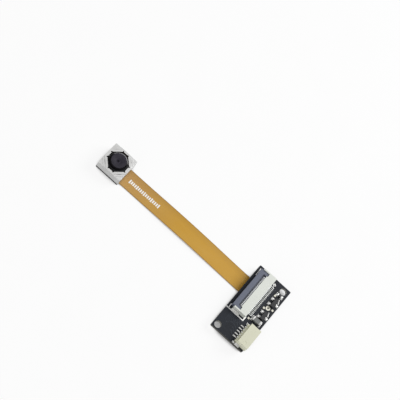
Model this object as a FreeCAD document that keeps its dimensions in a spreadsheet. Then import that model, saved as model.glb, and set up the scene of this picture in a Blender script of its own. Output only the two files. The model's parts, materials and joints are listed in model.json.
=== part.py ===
import FreeCAD, Part
import Sketcher
import os
import re
from math import atan, cos, pi, sin

from FreeCAD import Vector

# Camera module: an autofocus camera head on a flexible circuit, plugged into a connector board.
# Frame: origin on the lens axis at the resting plane, +X from the head to the board, +Z up. Sizes in mm.

# Driving dimensions
SIZES = {
    "Flexible circuit and stiffeners": {
        "stiffener_thickness": 0.15,
        "flex_thickness": 0.15,
        "flex_width": 6.0,
        "flex_offset": -0.35,
        "flex_rise": 0.5,
        "flex_straight": 0.4,
        "head_pad_side": 8.3,
        "tail_pad_length": 3.6,
        "tail_pad_width": 6.9,
    },
    "Image sensor and its holder": {
        "sensor_length": 5.6,
        "sensor_width": 4.8,
        "sensor_thickness": 0.45,
        "holder_side": 8.4,
        "holder_flange_height": 0.6,
        "holder_step_height": 0.4,
        "holder_wall": 0.6,
        "holder_roof": 0.35,
        "window_length": 4.8,
        "window_width": 4.0,
        "filter_length": 5.4,
        "filter_width": 4.6,
        "filter_thickness": 0.2,
        "filter_clearance": 0.05,
        "head_part_length": 1.0,
        "head_part_width": 0.5,
        "head_part_height": 0.5,
        "head_part_spacing": 1.7,
        "head_part_gap": 0.2,
        "driver_length": 1.6,
        "driver_width": 0.6,
        "driver_height": 0.35,
    },
    "Shield can": {
        "can_side": 8.5,
        "can_wall": 0.15,
        "can_height": 3.05,
        "can_step_drop": 0.12,
        "can_step_line": 5.6,
        "can_step_width": 1.0,
        "can_steps": 2,
        "can_edge_radius": 0.3,
        "opening_flat": 3.55,
        "opening_side": 3.32,
        "opening_diagonal": 3.17,
        "relief_radius": 0.22,
        "relief_inset": 0.1,
        "inner_clearance": 0.05,
    },
    "Focus actuator": {
        "base_height": 0.3,
        "base_bore_radius": 2.95,
        "spring_thickness": 0.05,
        "spring_ring_width": 0.22,
        "spring_arm_width": 0.12,
        "spring_arm_gap": 0.2,
        "spring_corner_line": 5.9,
        "spring_bridge_start": 0.6,
        "carrier_flat": 3.42,
        "carrier_diagonal": 3.2,
        "carrier_height": 1.8,
        "carrier_rim_gap": 0.22,
        "carrier_slot": 0.24,
        "carrier_rim_height": 0.4,
        "carrier_flange_width": 0.18,
        "carrier_flange_height": 0.2,
        "carrier_flange_start": 0.2,
        "coil_width": 0.33,
        "coil_height": 1.0,
        "magnet_gap": 0.17,
        "magnet_height": 1.6,
        "magnet_side_start": 1.6,
        "magnet_corner_cut": 0.6,
    },
    "Lens group": {
        "thread_radius": 2.75,
        "thread_clearance": 0.01,
        "barrel_height": 3.1,
        "barrel_lift": 0.1,
        "barrel_neck_radius": 2.52,
        "barrel_neck_height": 1.15,
        "barrel_face_radius": 2.38,
        "barrel_chamfer_height": 0.2,
        "barrel_notches": 20,
        "barrel_notch_width": 0.28,
        "barrel_notch_depth": 0.2,
        "barrel_notch_height": 0.3,
        "cone_radius": 1.95,
        "cone_depth": 0.4,
        "aperture_radius": 0.7,
        "front_seat_thickness": 0.12,
        "front_bore_radius": 1.5,
        "front_bore_depth": 0.55,
        "middle_bore_radius": 1.85,
        "middle_bore_depth": 0.55,
        "rear_bore_radius": 2.25,
        "lens_clearance": 0.01,
        "front_lens_dome": 0.1,
        "front_lens_thickness": 0.45,
        "second_lens_thickness": 0.42,
        "third_lens_thickness": 0.25,
        "rear_lens_thickness": 0.3,
        "rear_lens_dish": 0.12,
        "retainer_height": 0.2,
        "retainer_radius": 1.75,
    },
    "Circuit board": {
        "board_start": 51.85,
        "board_length": 12.2,
        "board_width": 24.85,
        "board_edge": 7.18,
        "board_thickness": 1.0,
        "board_corner_radius": 0.3,
        "mated_height": 0.8,
        "hole_radius": 1.1,
        "far_hole_inset_x": 1.9,
        "far_hole_inset_y": 1.65,
        "near_hole_inset_x": 1.6,
        "near_hole_inset_y": 1.4,
    },
    "Ribbon connector": {
        "ribbon_offset": -1.5,
        "ribbon_ways": 24,
        "ribbon_spacing": 0.5,
        "ribbon_housing_front": 3.4,
        "ribbon_housing_depth": 2.85,
        "ribbon_housing_height": 2.0,
        "ribbon_housing_width": 15.8,
        "ribbon_arm_wall": 0.45,
        "ribbon_arm_reach": 1.65,
        "ribbon_floor": 0.3,
        "ribbon_base_reach": 1.35,
        "ribbon_slot_height": 1.05,
        "ribbon_slot_depth": 2.25,
        "ear_pocket_depth": 1.6,
        "ear_pocket_height": 1.55,
        "ear_pocket_floor": 0.15,
        "roof_notch": 0.35,
        "rib_reach": 0.65,
        "rib_root": 0.4,
        "rib_width": 0.14,
        "rib_height": 0.15,
        "contact_width": 0.2,
        "contact_gap": 0.02,
        "contact_thickness": 0.12,
        "foot_thickness": 0.15,
        "foot_reach": 1.2,
        "upper_beam_level": 1.1,
        "upper_beam_reach": 0.7,
        "lower_beam_reach": 0.65,
        "lower_beam_gap": 0.05,
        "spine_width": 0.2,
        "slider_reach": 2.5,
        "slider_bar_depth": 1.43,
        "slider_bar_level": 1.3,
        "slider_top": 1.65,
        "slider_bottom": 0.2,
        "slider_web_depth": 0.55,
        "slider_gap": 0.05,
        "ear_width": 1.0,
        "ear_depth": 2.9,
        "ear_corner_cut": 0.4,
        "tongue_thickness": 0.15,
        "tongue_reach": 2.15,
        "tongue_gap": 0.05,
        "tab_length": 2.8,
        "tab_width": 0.6,
        "tab_thickness": 0.15,
        "tab_height": 1.1,
        "tab_start": 0.0,
    },
    "Wire connector": {
        "wire_offset": -13.57,
        "wire_ways": 5,
        "wire_spacing": 1.0,
        "wire_overhang": 0.3,
        "wire_depth": 4.25,
        "wire_width": 7.0,
        "wire_height": 2.95,
        "wire_ledge_depth": 0.65,
        "wire_ledge_height": 1.6,
        "wire_ledge_inset": 0.3,
        "wire_window_depth": 0.35,
        "wire_window_width": 0.5,
        "wire_wall": 0.45,
        "wire_floor": 0.6,
        "wire_rear_wall": 0.6,
        "pin_width": 0.3,
        "pin_thickness": 0.2,
        "pin_level": 1.23,
        "pin_length": 3.4,
        "pin_hole_gap": 0.02,
        "wire_foot_reach": 1.2,
        "wire_tab_length": 1.5,
        "wire_tab_width": 0.5,
        "wire_tab_height": 1.0,
        "ejector_radius": 0.6,
        "ejector_inset": 0.85,
        "ejector_depth": 0.05,
    },
    "Regulators": {
        "regulator_x": 10.35,
        "upper_regulator_y": 0.6,
        "lower_regulator_y": -4.77,
        "regulator_width": 1.3,
        "regulator_length": 2.9,
        "regulator_height": 0.95,
        "regulator_standoff": 0.08,
        "regulator_bevel": 0.12,
        "lead_reach": 0.6,
        "lead_width": 0.42,
        "lead_thickness": 0.13,
        "lead_foot": 0.35,
        "lead_level": 0.5,
        "lead_spacing": 0.95,
    },
    "Chip parts and pads": {
        "resistor_x": 10.25,
        "resistor_y": 3.7,
        "resistor_length": 1.6,
        "resistor_width": 0.8,
        "resistor_height": 0.45,
        "capacitor_x": 9.65,
        "capacitor_y": -7.4,
        "capacitor_length": 3.0,
        "capacitor_width": 1.4,
        "capacitor_height": 0.85,
        "terminal_share": 0.2,
        "terminal_wrap": 0.02,
        "pad_thickness": 0.05,
        "ring_x": 9.9,
        "ring_y": -1.75,
        "ring_radius": 0.75,
        "ring_bore_radius": 0.28,
        "small_pad_side": 0.6,
        "first_pad_x": 7.35,
        "first_pad_y": -8.3,
        "second_pad_x": 9.2,
        "second_pad_y": 2.85,
        "third_pad_x": 8.9,
        "third_pad_y": -2.5,
        "fourth_pad_x": 11.4,
        "fourth_pad_y": -1.35,
    },
    "Plug and socket under the board": {
        "socket_x": 3.0,
        "socket_length": 6.4,
        "socket_width": 2.6,
        "socket_height": 0.7,
        "socket_wall": 0.3,
        "socket_roof": 0.15,
        "island_length": 5.0,
        "island_width": 0.5,
        "island_gap": 0.1,
        "plug_clearance": 0.08,
        "plug_height": 0.55,
        "plug_floor": 0.12,
        "mated_ways": 12,
        "mated_spacing": 0.4,
        "mated_contact_width": 0.2,
        "mated_foot_reach": 0.35,
        "mated_foot_thickness": 0.08,
    },
    "Parts under the board": {
        "controller_x": 6.3,
        "controller_y": -8.5,
        "controller_side": 6.0,
        "controller_height": 0.85,
        "controller_ways": 10,
        "controller_spacing": 0.5,
        "memory_x": 3.6,
        "memory_y": -13.6,
        "memory_length": 3.0,
        "memory_width": 2.0,
        "memory_height": 0.6,
        "memory_ways": 4,
        "memory_spacing": 0.5,
        "crystal_x": 8.7,
        "crystal_y": -14.1,
        "crystal_length": 3.2,
        "crystal_width": 2.5,
        "crystal_height": 0.5,
        "crystal_lid_height": 0.3,
        "crystal_lid_inset": 0.2,
        "chip_pad_length": 0.4,
        "chip_pad_width": 0.25,
        "chip_pad_thickness": 0.05,
        "chip_pad_overhang": 0.05,
        "small_part_x": 8.3,
        "small_part_y": 3.6,
        "small_part_length": 1.0,
        "small_part_width": 0.5,
        "small_part_height": 0.5,
        "small_part_spacing_x": 2.2,
        "small_part_spacing_y": 1.6,
        "small_part_rows": 4,
        "small_part_columns": 2,
    },
}

doc = FreeCAD.newDocument("camera_module")
sheet = doc.addObject("Spreadsheet::Sheet", "sizes")
row = 0
for heading, values in SIZES.items():
    row += 1
    sheet.set(f"A{row}", heading)
    for alias, value in values.items():
        row += 1
        sheet.set(f"A{row}", alias.replace("_", " "))
        sheet.set(f"B{row}", str(value))
        sheet.setAlias(f"B{row}", alias)
doc.recompute()
ALIASES = {alias for values in SIZES.values() for alias in values}

# Levels and places that several pieces share, written as formulas of the driving dimensions
FLEX_TOP = "(stiffener_thickness + flex_thickness)"
FLANGE_TOP = f"({FLEX_TOP} + holder_flange_height)"
HOLDER_TOP = f"({FLANGE_TOP} + holder_step_height)"
CAN_TOP = f"({FLANGE_TOP} + can_height)"
CAN_INNER = "(can_side / 2 - can_wall)"
BASE_TOP = f"({HOLDER_TOP} + base_height)"
CARRIER_BOTTOM = f"({BASE_TOP} + spring_thickness)"
CARRIER_SHOULDER = f"({CARRIER_BOTTOM} + carrier_height)"
RIM_TOP = f"({CARRIER_SHOULDER} + carrier_rim_height)"
FLANGE_START = f"({CARRIER_BOTTOM} + carrier_flange_start)"
COIL_BOTTOM = f"({FLANGE_START} + carrier_flange_height)"
MAGNET_BOTTOM = f"({CARRIER_SHOULDER} - magnet_height)"
MAGNET_LINE = "((carrier_diagonal + coil_width + magnet_gap) * sqrt(2))"
BARREL_BOTTOM = f"({CARRIER_BOTTOM} + barrel_lift)"
BARREL_TOP = f"({BARREL_BOTTOM} + barrel_height)"
APERTURE_LEVEL = f"({BARREL_TOP} - cone_depth)"
FRONT_SEAT = f"({APERTURE_LEVEL} - front_seat_thickness)"
MIDDLE_SEAT = f"({FRONT_SEAT} - front_bore_depth)"
REAR_SEAT = f"({MIDDLE_SEAT} - middle_bore_depth)"
BOARD_BOTTOM = f"({FLEX_TOP} + mated_height)"
BOARD_TOP = f"({BOARD_BOTTOM} + board_thickness)"
BOARD_END = "(board_start + board_length)"
SOCKET_X = "(board_start + socket_x)"
HOUSING_FRONT = "(board_start + ribbon_housing_front)"
SLIDER_HALF = "(ribbon_housing_width / 2 - ribbon_arm_wall - slider_gap)"
EAR_INNER = f"({SLIDER_HALF} - ear_width)"
EAR_SIDE = "(ribbon_housing_width / 2 - ribbon_arm_wall)"
WIRE_BACK = f"({BOARD_END} + wire_overhang - wire_depth)"


def formula(text):
    """Point every size named in a formula at its cell."""
    return re.sub(r"[a-z_]+", lambda word: "sizes." + word.group() if word.group() in ALIASES
                  else word.group(), text)


def number(text):
    """The value of a formula with the sheet's present sizes."""
    return float(sheet.evalExpression(text))


def new_body(label, x="0", y="0", z="0"):
    """An empty body whose own origin is at the given place."""
    body = doc.addObject("PartDesign::Body", label)
    body.Label = label
    for axis, text in zip("xyz", (x, y, z)):
        body.setExpression(f"Placement.Base.{axis}", formula(text))
    return body


def origin_feature(body, role):
    """One of the body's own origin planes or axes."""
    return next(item for item in body.Origin.OriginFeatures if item.Role == role)


def rectangle(x, y, length, width):
    """Corners of a rectangle centred on x, y."""
    sides = ((-1, -1), (1, -1), (1, 1), (-1, 1))
    return [(f"{x} + {i} * ({length}) / 2", f"{y} + {j} * ({width}) / 2") for i, j in sides]


def span(x_low, x_high, y_low, y_high):
    """Corners of a rectangle between two limits each way."""
    return [(x_low, y_low), (x_high, y_low), (x_high, y_high), (x_low, y_high)]


def square(side):
    """Corners of a square centred on the lens axis."""
    return rectangle("0", "0", side, side)


def turned(points, quarters):
    """Points turned about the lens axis by quarter turns."""
    for _ in range(quarters):
        points = [(f"-({y})", x) for x, y in points]
    return points


def mirrored(points, side):
    """Points as they are for side 1, and with the first coordinate reversed for side -1."""
    return [(f"{side} * ({x})", y) for x, y in points]


def octagon(flat, diagonal):
    """Corners of an octagon: distances from the axis to its straight and to its slanted sides."""
    short = f"(({diagonal}) * sqrt(2) - ({flat}))"
    corners = []
    for quarters in range(4):
        corners += turned([(f"({flat})", f"-{short}"), (f"({flat})", short)], quarters)
    return corners


def circle(x, y, radius):
    """A round outline."""
    return (x, y, radius)


def pin_point(sketch, geometry, position, x, y):
    """Tie a point of the sketch to its coordinates."""
    for kind, text in (("DistanceX", x), ("DistanceY", y)):
        rule = Sketcher.Constraint(kind, -1, 1, geometry, position, number(text))
        index = sketch.addConstraint(rule)
        sketch.setExpression(f"Constraints[{index}]", formula(text))


def draw(sketch, outline):
    """Draw a closed outline: a list of corners, or a circle."""
    first = sketch.GeometryCount
    if isinstance(outline, tuple):
        x, y, radius = outline
        centre = Vector(number(x), number(y), 0)
        sketch.addGeometry(Part.Circle(centre, Vector(0, 0, 1), number(radius)), False)
        pin_point(sketch, first, 3, x, y)
        index = sketch.addConstraint(Sketcher.Constraint("Radius", first, number(radius)))
        sketch.setExpression(f"Constraints[{index}]", formula(radius))
        return
    corners = [Vector(number(x), number(y), 0) for x, y in outline]
    following = corners[1:] + corners[:1]
    sketch.addGeometry([Part.LineSegment(a, b) for a, b in zip(corners, following)], False)
    count = len(corners)
    for i in range(count):
        joint = Sketcher.Constraint("Coincident", first + i, 2, first + (i + 1) % count, 1)
        sketch.addConstraint(joint)
    for i, (x, y) in enumerate(outline):
        pin_point(sketch, first + i, 1, x, y)


def sketch_on(body, plane, level, outlines):
    """A sketch of closed outlines on one of the body's planes, raised to a level."""
    sketch = body.newObject("Sketcher::SketchObject", body.Name + "_sketch")
    sketch.AttachmentSupport = [(origin_feature(body, plane + "_Plane"), "")]
    sketch.MapMode = "FlatFace"
    sketch.setExpression("AttachmentOffset.Base.z", formula(level))
    for outline in outlines:
        draw(sketch, outline)
    return sketch


def shape_feature(body, sketch, length, cut=False, both_ways=False):
    """Add or take away the sketch's outlines over a length, along the sketch's normal."""
    kind = "Pocket" if cut else "Pad"
    feature = body.newObject("PartDesign::" + kind, f"{body.Name}_{kind.lower()}")
    feature.Profile = sketch
    feature.setExpression("Length", formula(length))
    feature.Midplane = both_ways
    feature.Reversed = cut and not both_ways
    return feature


def upright(body, outlines, bottom, top, cut=False):
    """Outlines seen from above, between two heights."""
    sketch = sketch_on(body, "XY", bottom, outlines)
    return shape_feature(body, sketch, f"({top}) - ({bottom})", cut)


def lengthwise(body, outlines, start, end, cut=False):
    """Outlines of y and z, between two places along X."""
    sketch = sketch_on(body, "YZ", start, outlines)
    return shape_feature(body, sketch, f"({end}) - ({start})", cut)


def sideways(body, outlines, centre, width, cut=False):
    """Outlines of x and z, as wide as given about a centre along Y."""
    sketch = sketch_on(body, "XZ", f"-({centre})", outlines)
    return shape_feature(body, sketch, width, cut, both_ways=True)


def repeat(body, features, axis, count, spacing):
    """Repeat features in a row of a given count and spacing."""
    row_of = body.newObject("PartDesign::LinearPattern", body.Name + "_row")
    row_of.Originals = features
    row_of.Direction = (origin_feature(body, axis + "_Axis"), [""])
    row_of.setExpression("Length", formula(f"({count} - 1) * {spacing}"))
    row_of.setExpression("Occurrences", formula(count))
    body.Tip = row_of
    return row_of


def repeat_round(body, features, count):
    """Repeat features evenly round the lens axis."""
    ring = body.newObject("PartDesign::PolarPattern", body.Name + "_ring")
    ring.Originals = features
    ring.Axis = (origin_feature(body, "Z_Axis"), [""])
    ring.Angle = 360
    ring.setExpression("Occurrences", formula(count))
    body.Tip = ring
    return ring


def row_start(count, spacing):
    """Where a row centred on zero begins."""
    return f"(-({count} - 1) * {spacing} / 2)"


def dress_edges(body, kind, feature, chosen, size):
    """Fillet or chamfer the edges of a feature that a test chooses."""
    doc.recompute()
    edges = feature.Shape.Edges
    names = [f"Edge{i + 1}" for i, edge in enumerate(edges) if chosen(edge)]
    dressed = body.newObject("PartDesign::" + kind, f"{body.Name}_{kind.lower()}")
    dressed.Base = (feature, names)
    dressed.setExpression("Radius" if kind == "Fillet" else "Size", formula(size))
    return dressed


def is_vertical(edge):
    """Whether an edge is straight and runs along Z."""
    box = edge.BoundBox
    return box.ZLength > box.XLength + box.YLength


def on_top(edge):
    """Whether an edge lies flat, above the middle of a regulator."""
    box = edge.BoundBox
    return box.ZLength < box.XLength + box.YLength and box.ZMin > number("regulator_height") / 2


def cylinder(name, radius, height, z):
    """A cylinder on the lens axis."""
    piece = doc.addObject("Part::Cylinder", name)
    piece.setExpression("Radius", formula(radius))
    piece.setExpression("Height", formula(height))
    piece.setExpression("Placement.Base.z", formula(z))
    return piece


def cap(name, radius, height, z):
    """A slice of a ball on the lens axis: its flat side is at z, and it is as high as given."""
    ball = f"((({radius})^2 + ({height})^2) / (2 * ({height})))"
    piece = doc.addObject("Part::Sphere", name)
    piece.setExpression("Radius", formula(ball))
    piece.setExpression("Angle1", formula(f"asin(({ball} - ({height})) / {ball})"))
    piece.Angle2 = 90
    piece.setExpression("Placement.Base.z", formula(f"({z}) - ({ball} - ({height}))"))
    return piece


def combine(kind, label, base, tool):
    """Two primitives joined or cut into one piece."""
    piece = doc.addObject("Part::" + kind, label)
    piece.Label = label
    piece.Base = base
    piece.Tool = tool
    return piece


# Flexible circuit: a pad under the head, a ribbon that arches a little, and a pad under the plug
def arched_edge(start, quarter, level, rise, offset):
    """The ribbon's edge: three arcs that leave and come down level, shifted up by an offset."""
    half_angle = atan(rise / (2 * quarter))
    angle = 2 * half_angle
    radius = quarter / sin(angle)
    arcs = []
    centres = ((start, level + radius), (start + 2 * quarter, level + rise - radius),
               (start + 4 * quarter, level + radius))
    ranges = ((-pi / 2, -pi / 2 + angle), (pi / 2 + angle, pi / 2 - angle),
              (-pi / 2 - angle, -pi / 2))
    shifts = (-offset, offset, -offset)
    for (x, z), (low, high), shift in zip(centres, ranges, shifts):
        points = [Vector(x + (radius + shift) * cos(a), 0, z + (radius + shift) * sin(a))
                  for a in (low, (low + high) / 2, high)]
        arcs.append(Part.Arc(*points).toShape())
    return arcs


def make_flex_circuit():
    """The laminate as one solid of even thickness."""
    thickness = number("flex_thickness")
    level = number("stiffener_thickness")
    offset = number("flex_offset")
    pad_side = number("head_pad_side")
    tail_length = number("tail_pad_length")
    tail_width = number("tail_pad_width")
    tail_start = number(SOCKET_X) - tail_length / 2
    start = pad_side / 2 + number("flex_straight")
    quarter = (tail_start - number("flex_straight") - start) / 4
    lower = arched_edge(start, quarter, level, number("flex_rise"), 0)
    upper = arched_edge(start, quarter, level, number("flex_rise"), thickness)
    corners = [Vector(tail_start + tail_length / 2, 0, level),
               Vector(tail_start + tail_length / 2, 0, level + thickness)]
    ends = [Vector(0, 0, level + thickness), Vector(0, 0, level)]
    path = [lower[-1].Vertexes[-1].Point] + corners + [upper[-1].Vertexes[-1].Point]
    back = [upper[0].Vertexes[0].Point] + ends + [lower[0].Vertexes[0].Point]
    straights = [Part.LineSegment(a, b).toShape() for run in (path, back)
                 for a, b in zip(run, run[1:])]
    outline = Part.Wire(Part.__sortEdges__(lower + upper + straights))
    width = number("flex_width")
    ribbon = Part.Face(outline).extrude(Vector(0, width, 0))
    ribbon.translate(Vector(0, offset - width / 2, 0))
    head_pad = Part.makeBox(pad_side, pad_side, thickness,
                            Vector(-pad_side / 2, -pad_side / 2, level))
    tail_pad = Part.makeBox(tail_length, tail_width, thickness,
                            Vector(tail_start, offset - tail_width / 2, level))
    piece = doc.addObject("Part::Feature", "flex_circuit")
    piece.Label = "flex_circuit"
    piece.Shape = ribbon.fuse([head_pad, tail_pad]).removeSplitter()
    return piece


def make_stiffeners():
    """Stiff plates under both pads of the flexible circuit."""
    head = new_body("head_stiffener")
    upright(head, [square("head_pad_side")], "0", "stiffener_thickness")
    tail = new_body("tail_stiffener", SOCKET_X, "flex_offset")
    upright(tail, [rectangle("0", "0", "tail_pad_length", "tail_pad_width")],
            "0", "stiffener_thickness")
    return [head, tail]


# Sensor package and what stands beside it on the head pad
def make_sensor_parts():
    """Image sensor, three capacitors on one side of it and the focus driver on the other."""
    sensor = new_body("image_sensor", z=FLEX_TOP)
    upright(sensor, [rectangle("0", "0", "sensor_length", "sensor_width")],
            "0", "sensor_thickness")
    side_y = "(sensor_width / 2 + head_part_gap + {} / 2)"
    capacitors = new_body("head_capacitors", z=FLEX_TOP)
    places = [f"{i} * head_part_spacing" for i in (-1, 0, 1)]
    upright(capacitors, [rectangle(x, side_y.format("head_part_width"), "head_part_length",
                                   "head_part_width") for x in places],
            "0", "head_part_height")
    driver = new_body("focus_driver_chip", z=FLEX_TOP)
    upright(driver, [rectangle("0", "-" + side_y.format("driver_width"), "driver_length",
                               "driver_width")], "0", "driver_height")
    return [sensor, capacitors, driver]


def make_sensor_holder():
    """Frame over the sensor, with the filter let into its roof."""
    holder = new_body("sensor_holder")
    upright(holder, [square("holder_side")], FLEX_TOP, FLANGE_TOP)
    upright(holder, [square(f"2 * ({CAN_INNER} - inner_clearance)")], FLANGE_TOP, HOLDER_TOP)
    upright(holder, [square("holder_side - 2 * holder_wall")],
            FLEX_TOP, f"{HOLDER_TOP} - holder_roof", cut=True)
    upright(holder, [rectangle("0", "0", "window_length", "window_width")],
            FLANGE_TOP, HOLDER_TOP, cut=True)
    upright(holder, [rectangle("0", "0", "filter_length + 2 * filter_clearance",
                               "filter_width + 2 * filter_clearance")],
            f"{HOLDER_TOP} - filter_thickness", HOLDER_TOP, cut=True)
    glass = new_body("infrared_filter")
    upright(glass, [rectangle("0", "0", "filter_length", "filter_width")],
            f"{HOLDER_TOP} - filter_thickness", HOLDER_TOP)
    return [holder, glass]


# Drawn metal can, with corners lowered in steps and an octagonal opening
def cut_corner(half, line):
    """One corner of a square beyond a slanted line."""
    return [(half, f"{line} - {half}"), (half, half), (f"{line} - {half}", half)]


def make_shield_can():
    """The can's wall and top are one sheet."""
    can = new_body("shield_can")
    blank = upright(can, [square("can_side")], FLANGE_TOP, CAN_TOP)
    dress_edges(can, "Fillet", blank, is_vertical, "can_edge_radius")
    outside = "(can_side / 2 + can_wall)"
    lowest = f"({CAN_TOP} - can_steps * can_step_drop)"
    upright(can, [square(f"2 * {CAN_INNER}")], FLANGE_TOP, f"{lowest} - can_wall", cut=True)
    for step in range(int(number("can_steps"))):
        line = f"(can_step_line + {step} * can_step_width)"
        level = f"({CAN_TOP} - {step} * can_step_drop)"
        upright(can, [turned(cut_corner(outside, line), i) for i in range(4)],
                f"{level} - can_step_drop", level, cut=True)
        inner_line = f"({line} - can_wall * sqrt(2))"
        ceiling = []
        for quarters in range(4):
            ceiling += turned([(CAN_INNER, f"-({inner_line} - {CAN_INNER})"),
                               (CAN_INNER, f"{inner_line} - {CAN_INNER}")], quarters)
        upright(can, [ceiling], f"{lowest} - 2 * can_wall", f"{level} - can_wall", cut=True)
    low = f"({CAN_TOP} - can_wall - can_steps * can_step_drop)"
    diagonal = "(opening_diagonal * sqrt(2))"
    relief_x = "(opening_side + relief_inset)"
    half_opening = [("opening_side", f"-({diagonal} - opening_side)"),
                    ("opening_side", f"{diagonal} - opening_side"),
                    (f"{diagonal} - opening_flat", "opening_flat"),
                    (f"-({diagonal} - opening_flat)", "opening_flat")]
    opening = half_opening + turned(half_opening, 2)
    upright(can, [opening], low, CAN_TOP, cut=True)
    reliefs = []
    for side in (1, -1):
        for end in (1, -1):
            reliefs.append(circle(f"{side} * ({diagonal} - opening_flat)",
                                  f"{end} * opening_flat", "relief_radius"))
            reliefs.append(circle(f"{side} * {relief_x}", f"{end} * ({diagonal} - {relief_x})",
                                  "relief_radius"))
    upright(can, reliefs, low, CAN_TOP, cut=True)
    return [can]


# Focus actuator: base, two leaf springs, magnets in the corners, and the carrier with its coil
def make_leaf_spring(label, level):
    """Flat spring: a ring on the carrier, and four arms out to pads in the corners."""
    spring = new_body(label, z=level)
    ring = [octagon("carrier_flat", "carrier_diagonal"),
            octagon("carrier_flat - spring_ring_width", "carrier_diagonal - spring_ring_width")]
    upright(spring, ring, "0", "spring_thickness")
    root = "(carrier_flat - spring_ring_width / 2)"
    arm = "(carrier_flat + spring_arm_gap)"
    outer_arm = f"({arm} + spring_arm_width)"
    rim = f"({CAN_INNER} - inner_clearance)"
    bridge = "(-spring_bridge_start)"
    outline = [(bridge, root), (f"{bridge} + spring_arm_width", root),
               (f"{bridge} + spring_arm_width", arm), (f"spring_corner_line - {arm}", arm),
               (rim, f"spring_corner_line - {rim}"), (rim, rim),
               (f"spring_corner_line - {rim}", rim),
               (f"spring_corner_line - {outer_arm}", outer_arm), (bridge, outer_arm)]
    for quarters in range(4):
        upright(spring, [turned(outline, quarters)], "0", "spring_thickness")
    return spring


def make_actuator():
    """What stays still in the actuator."""
    base = new_body("actuator_base")
    upright(base, [square(f"2 * ({CAN_INNER} - inner_clearance)"),
                   circle("0", "0", "base_bore_radius")], HOLDER_TOP, BASE_TOP)
    magnets = new_body("corner_magnets")
    start = "magnet_side_start"
    outline = [(start, f"{MAGNET_LINE} - {start}"), (f"{MAGNET_LINE} - {start}", start),
               (CAN_INNER, start), (CAN_INNER, f"{CAN_INNER} - magnet_corner_cut"),
               (f"{CAN_INNER} - magnet_corner_cut", CAN_INNER), (start, CAN_INNER)]
    upright(magnets, [turned(outline, i) for i in range(4)], MAGNET_BOTTOM, CARRIER_SHOULDER)
    lower = make_leaf_spring("lower_spring", BASE_TOP)
    upper = make_leaf_spring("upper_spring", CARRIER_SHOULDER)
    return [base, magnets, lower, upper]


def make_carrier():
    """Octagonal carrier, its rim in the can's opening, and the coil wound round it."""
    carrier = new_body("lens_carrier")
    upright(carrier, [octagon("carrier_flat", "carrier_diagonal")],
            CARRIER_BOTTOM, CARRIER_SHOULDER)
    upright(carrier, [octagon("opening_side - carrier_rim_gap",
                              "opening_diagonal - carrier_slot")], CARRIER_SHOULDER, RIM_TOP)
    upright(carrier, [octagon("carrier_flat + carrier_flange_width",
                              "carrier_diagonal + carrier_flange_width")],
            FLANGE_START, COIL_BOTTOM)
    upright(carrier, [circle("0", "0", "thread_radius")], CARRIER_BOTTOM, RIM_TOP, cut=True)
    coil = new_body("focus_coil")
    upright(coil, [octagon("carrier_flat + coil_width", "carrier_diagonal + coil_width"),
                   octagon("carrier_flat", "carrier_diagonal")],
            COIL_BOTTOM, f"{COIL_BOTTOM} + coil_height")
    return [carrier, coil]


# Lens group: a threaded barrel with four lenses and a ring that keeps them in
def make_barrel():
    """Turned section of the barrel, with a funnel in its face, a stepped bore and a notched edge."""
    thread = "(thread_radius - thread_clearance)"
    neck_start = f"{BARREL_TOP} - barrel_neck_height"
    section = [("rear_bore_radius", BARREL_BOTTOM), (thread, BARREL_BOTTOM),
               (thread, neck_start), ("barrel_neck_radius", neck_start),
               ("barrel_neck_radius", f"{BARREL_TOP} - barrel_chamfer_height"),
               ("barrel_face_radius", BARREL_TOP), ("cone_radius", BARREL_TOP),
               ("aperture_radius", APERTURE_LEVEL), ("aperture_radius", FRONT_SEAT),
               ("front_bore_radius", FRONT_SEAT), ("front_bore_radius", MIDDLE_SEAT),
               ("middle_bore_radius", MIDDLE_SEAT), ("middle_bore_radius", REAR_SEAT),
               ("rear_bore_radius", REAR_SEAT)]
    barrel = new_body("lens_barrel")
    sketch = sketch_on(barrel, "XZ", "0", [section])
    turning = barrel.newObject("PartDesign::Revolution", "lens_barrel_turning")
    turning.Profile = sketch
    turning.ReferenceAxis = (sketch, ["V_Axis"])
    turning.Angle = 360
    notch_start = "(barrel_neck_radius - barrel_notch_depth)"
    half_notch = "barrel_notch_width / 2"
    notch = upright(barrel, [span(notch_start, thread, f"-{half_notch}", half_notch)],
                    f"{BARREL_TOP} - barrel_notch_height", BARREL_TOP, cut=True)
    repeat_round(barrel, [notch], "barrel_notches")
    return [barrel]


def make_lenses():
    """Each lens is a disc with one face domed or dished."""
    front_radius = "(front_bore_radius - lens_clearance)"
    front = combine("Fuse", "front_lens",
                    cylinder("front_lens_disc", front_radius, "front_lens_thickness",
                             f"{FRONT_SEAT} - front_lens_thickness"),
                    cap("front_lens_dome", "(aperture_radius - lens_clearance)",
                        "front_lens_dome", FRONT_SEAT))
    dish = "rear_lens_dish"
    second_bottom = f"({MIDDLE_SEAT} - second_lens_thickness)"
    second = combine("Cut", "second_lens",
                     cylinder("second_lens_disc", "middle_bore_radius - lens_clearance",
                              "second_lens_thickness", second_bottom),
                     cap("second_lens_dish", "front_bore_radius", dish, second_bottom))
    third_bottom = f"({REAR_SEAT} - third_lens_thickness)"
    rear_radius = "rear_bore_radius - lens_clearance"
    third = combine("Cut", "third_lens",
                    cylinder("third_lens_disc", rear_radius, "third_lens_thickness",
                             third_bottom),
                    cap("third_lens_dish", "middle_bore_radius", dish, third_bottom))
    rear_bottom = f"({third_bottom} - rear_lens_thickness)"
    rear = combine("Cut", "rear_lens",
                   cylinder("rear_lens_disc", rear_radius, "rear_lens_thickness", rear_bottom),
                   cap("rear_lens_dish", "retainer_radius", dish, rear_bottom))
    retainer = new_body("lens_retainer")
    upright(retainer, [circle("0", "0", rear_radius), circle("0", "0", "retainer_radius")],
            f"{rear_bottom} - retainer_height", rear_bottom)
    return [front, second, third, rear, retainer]


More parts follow.
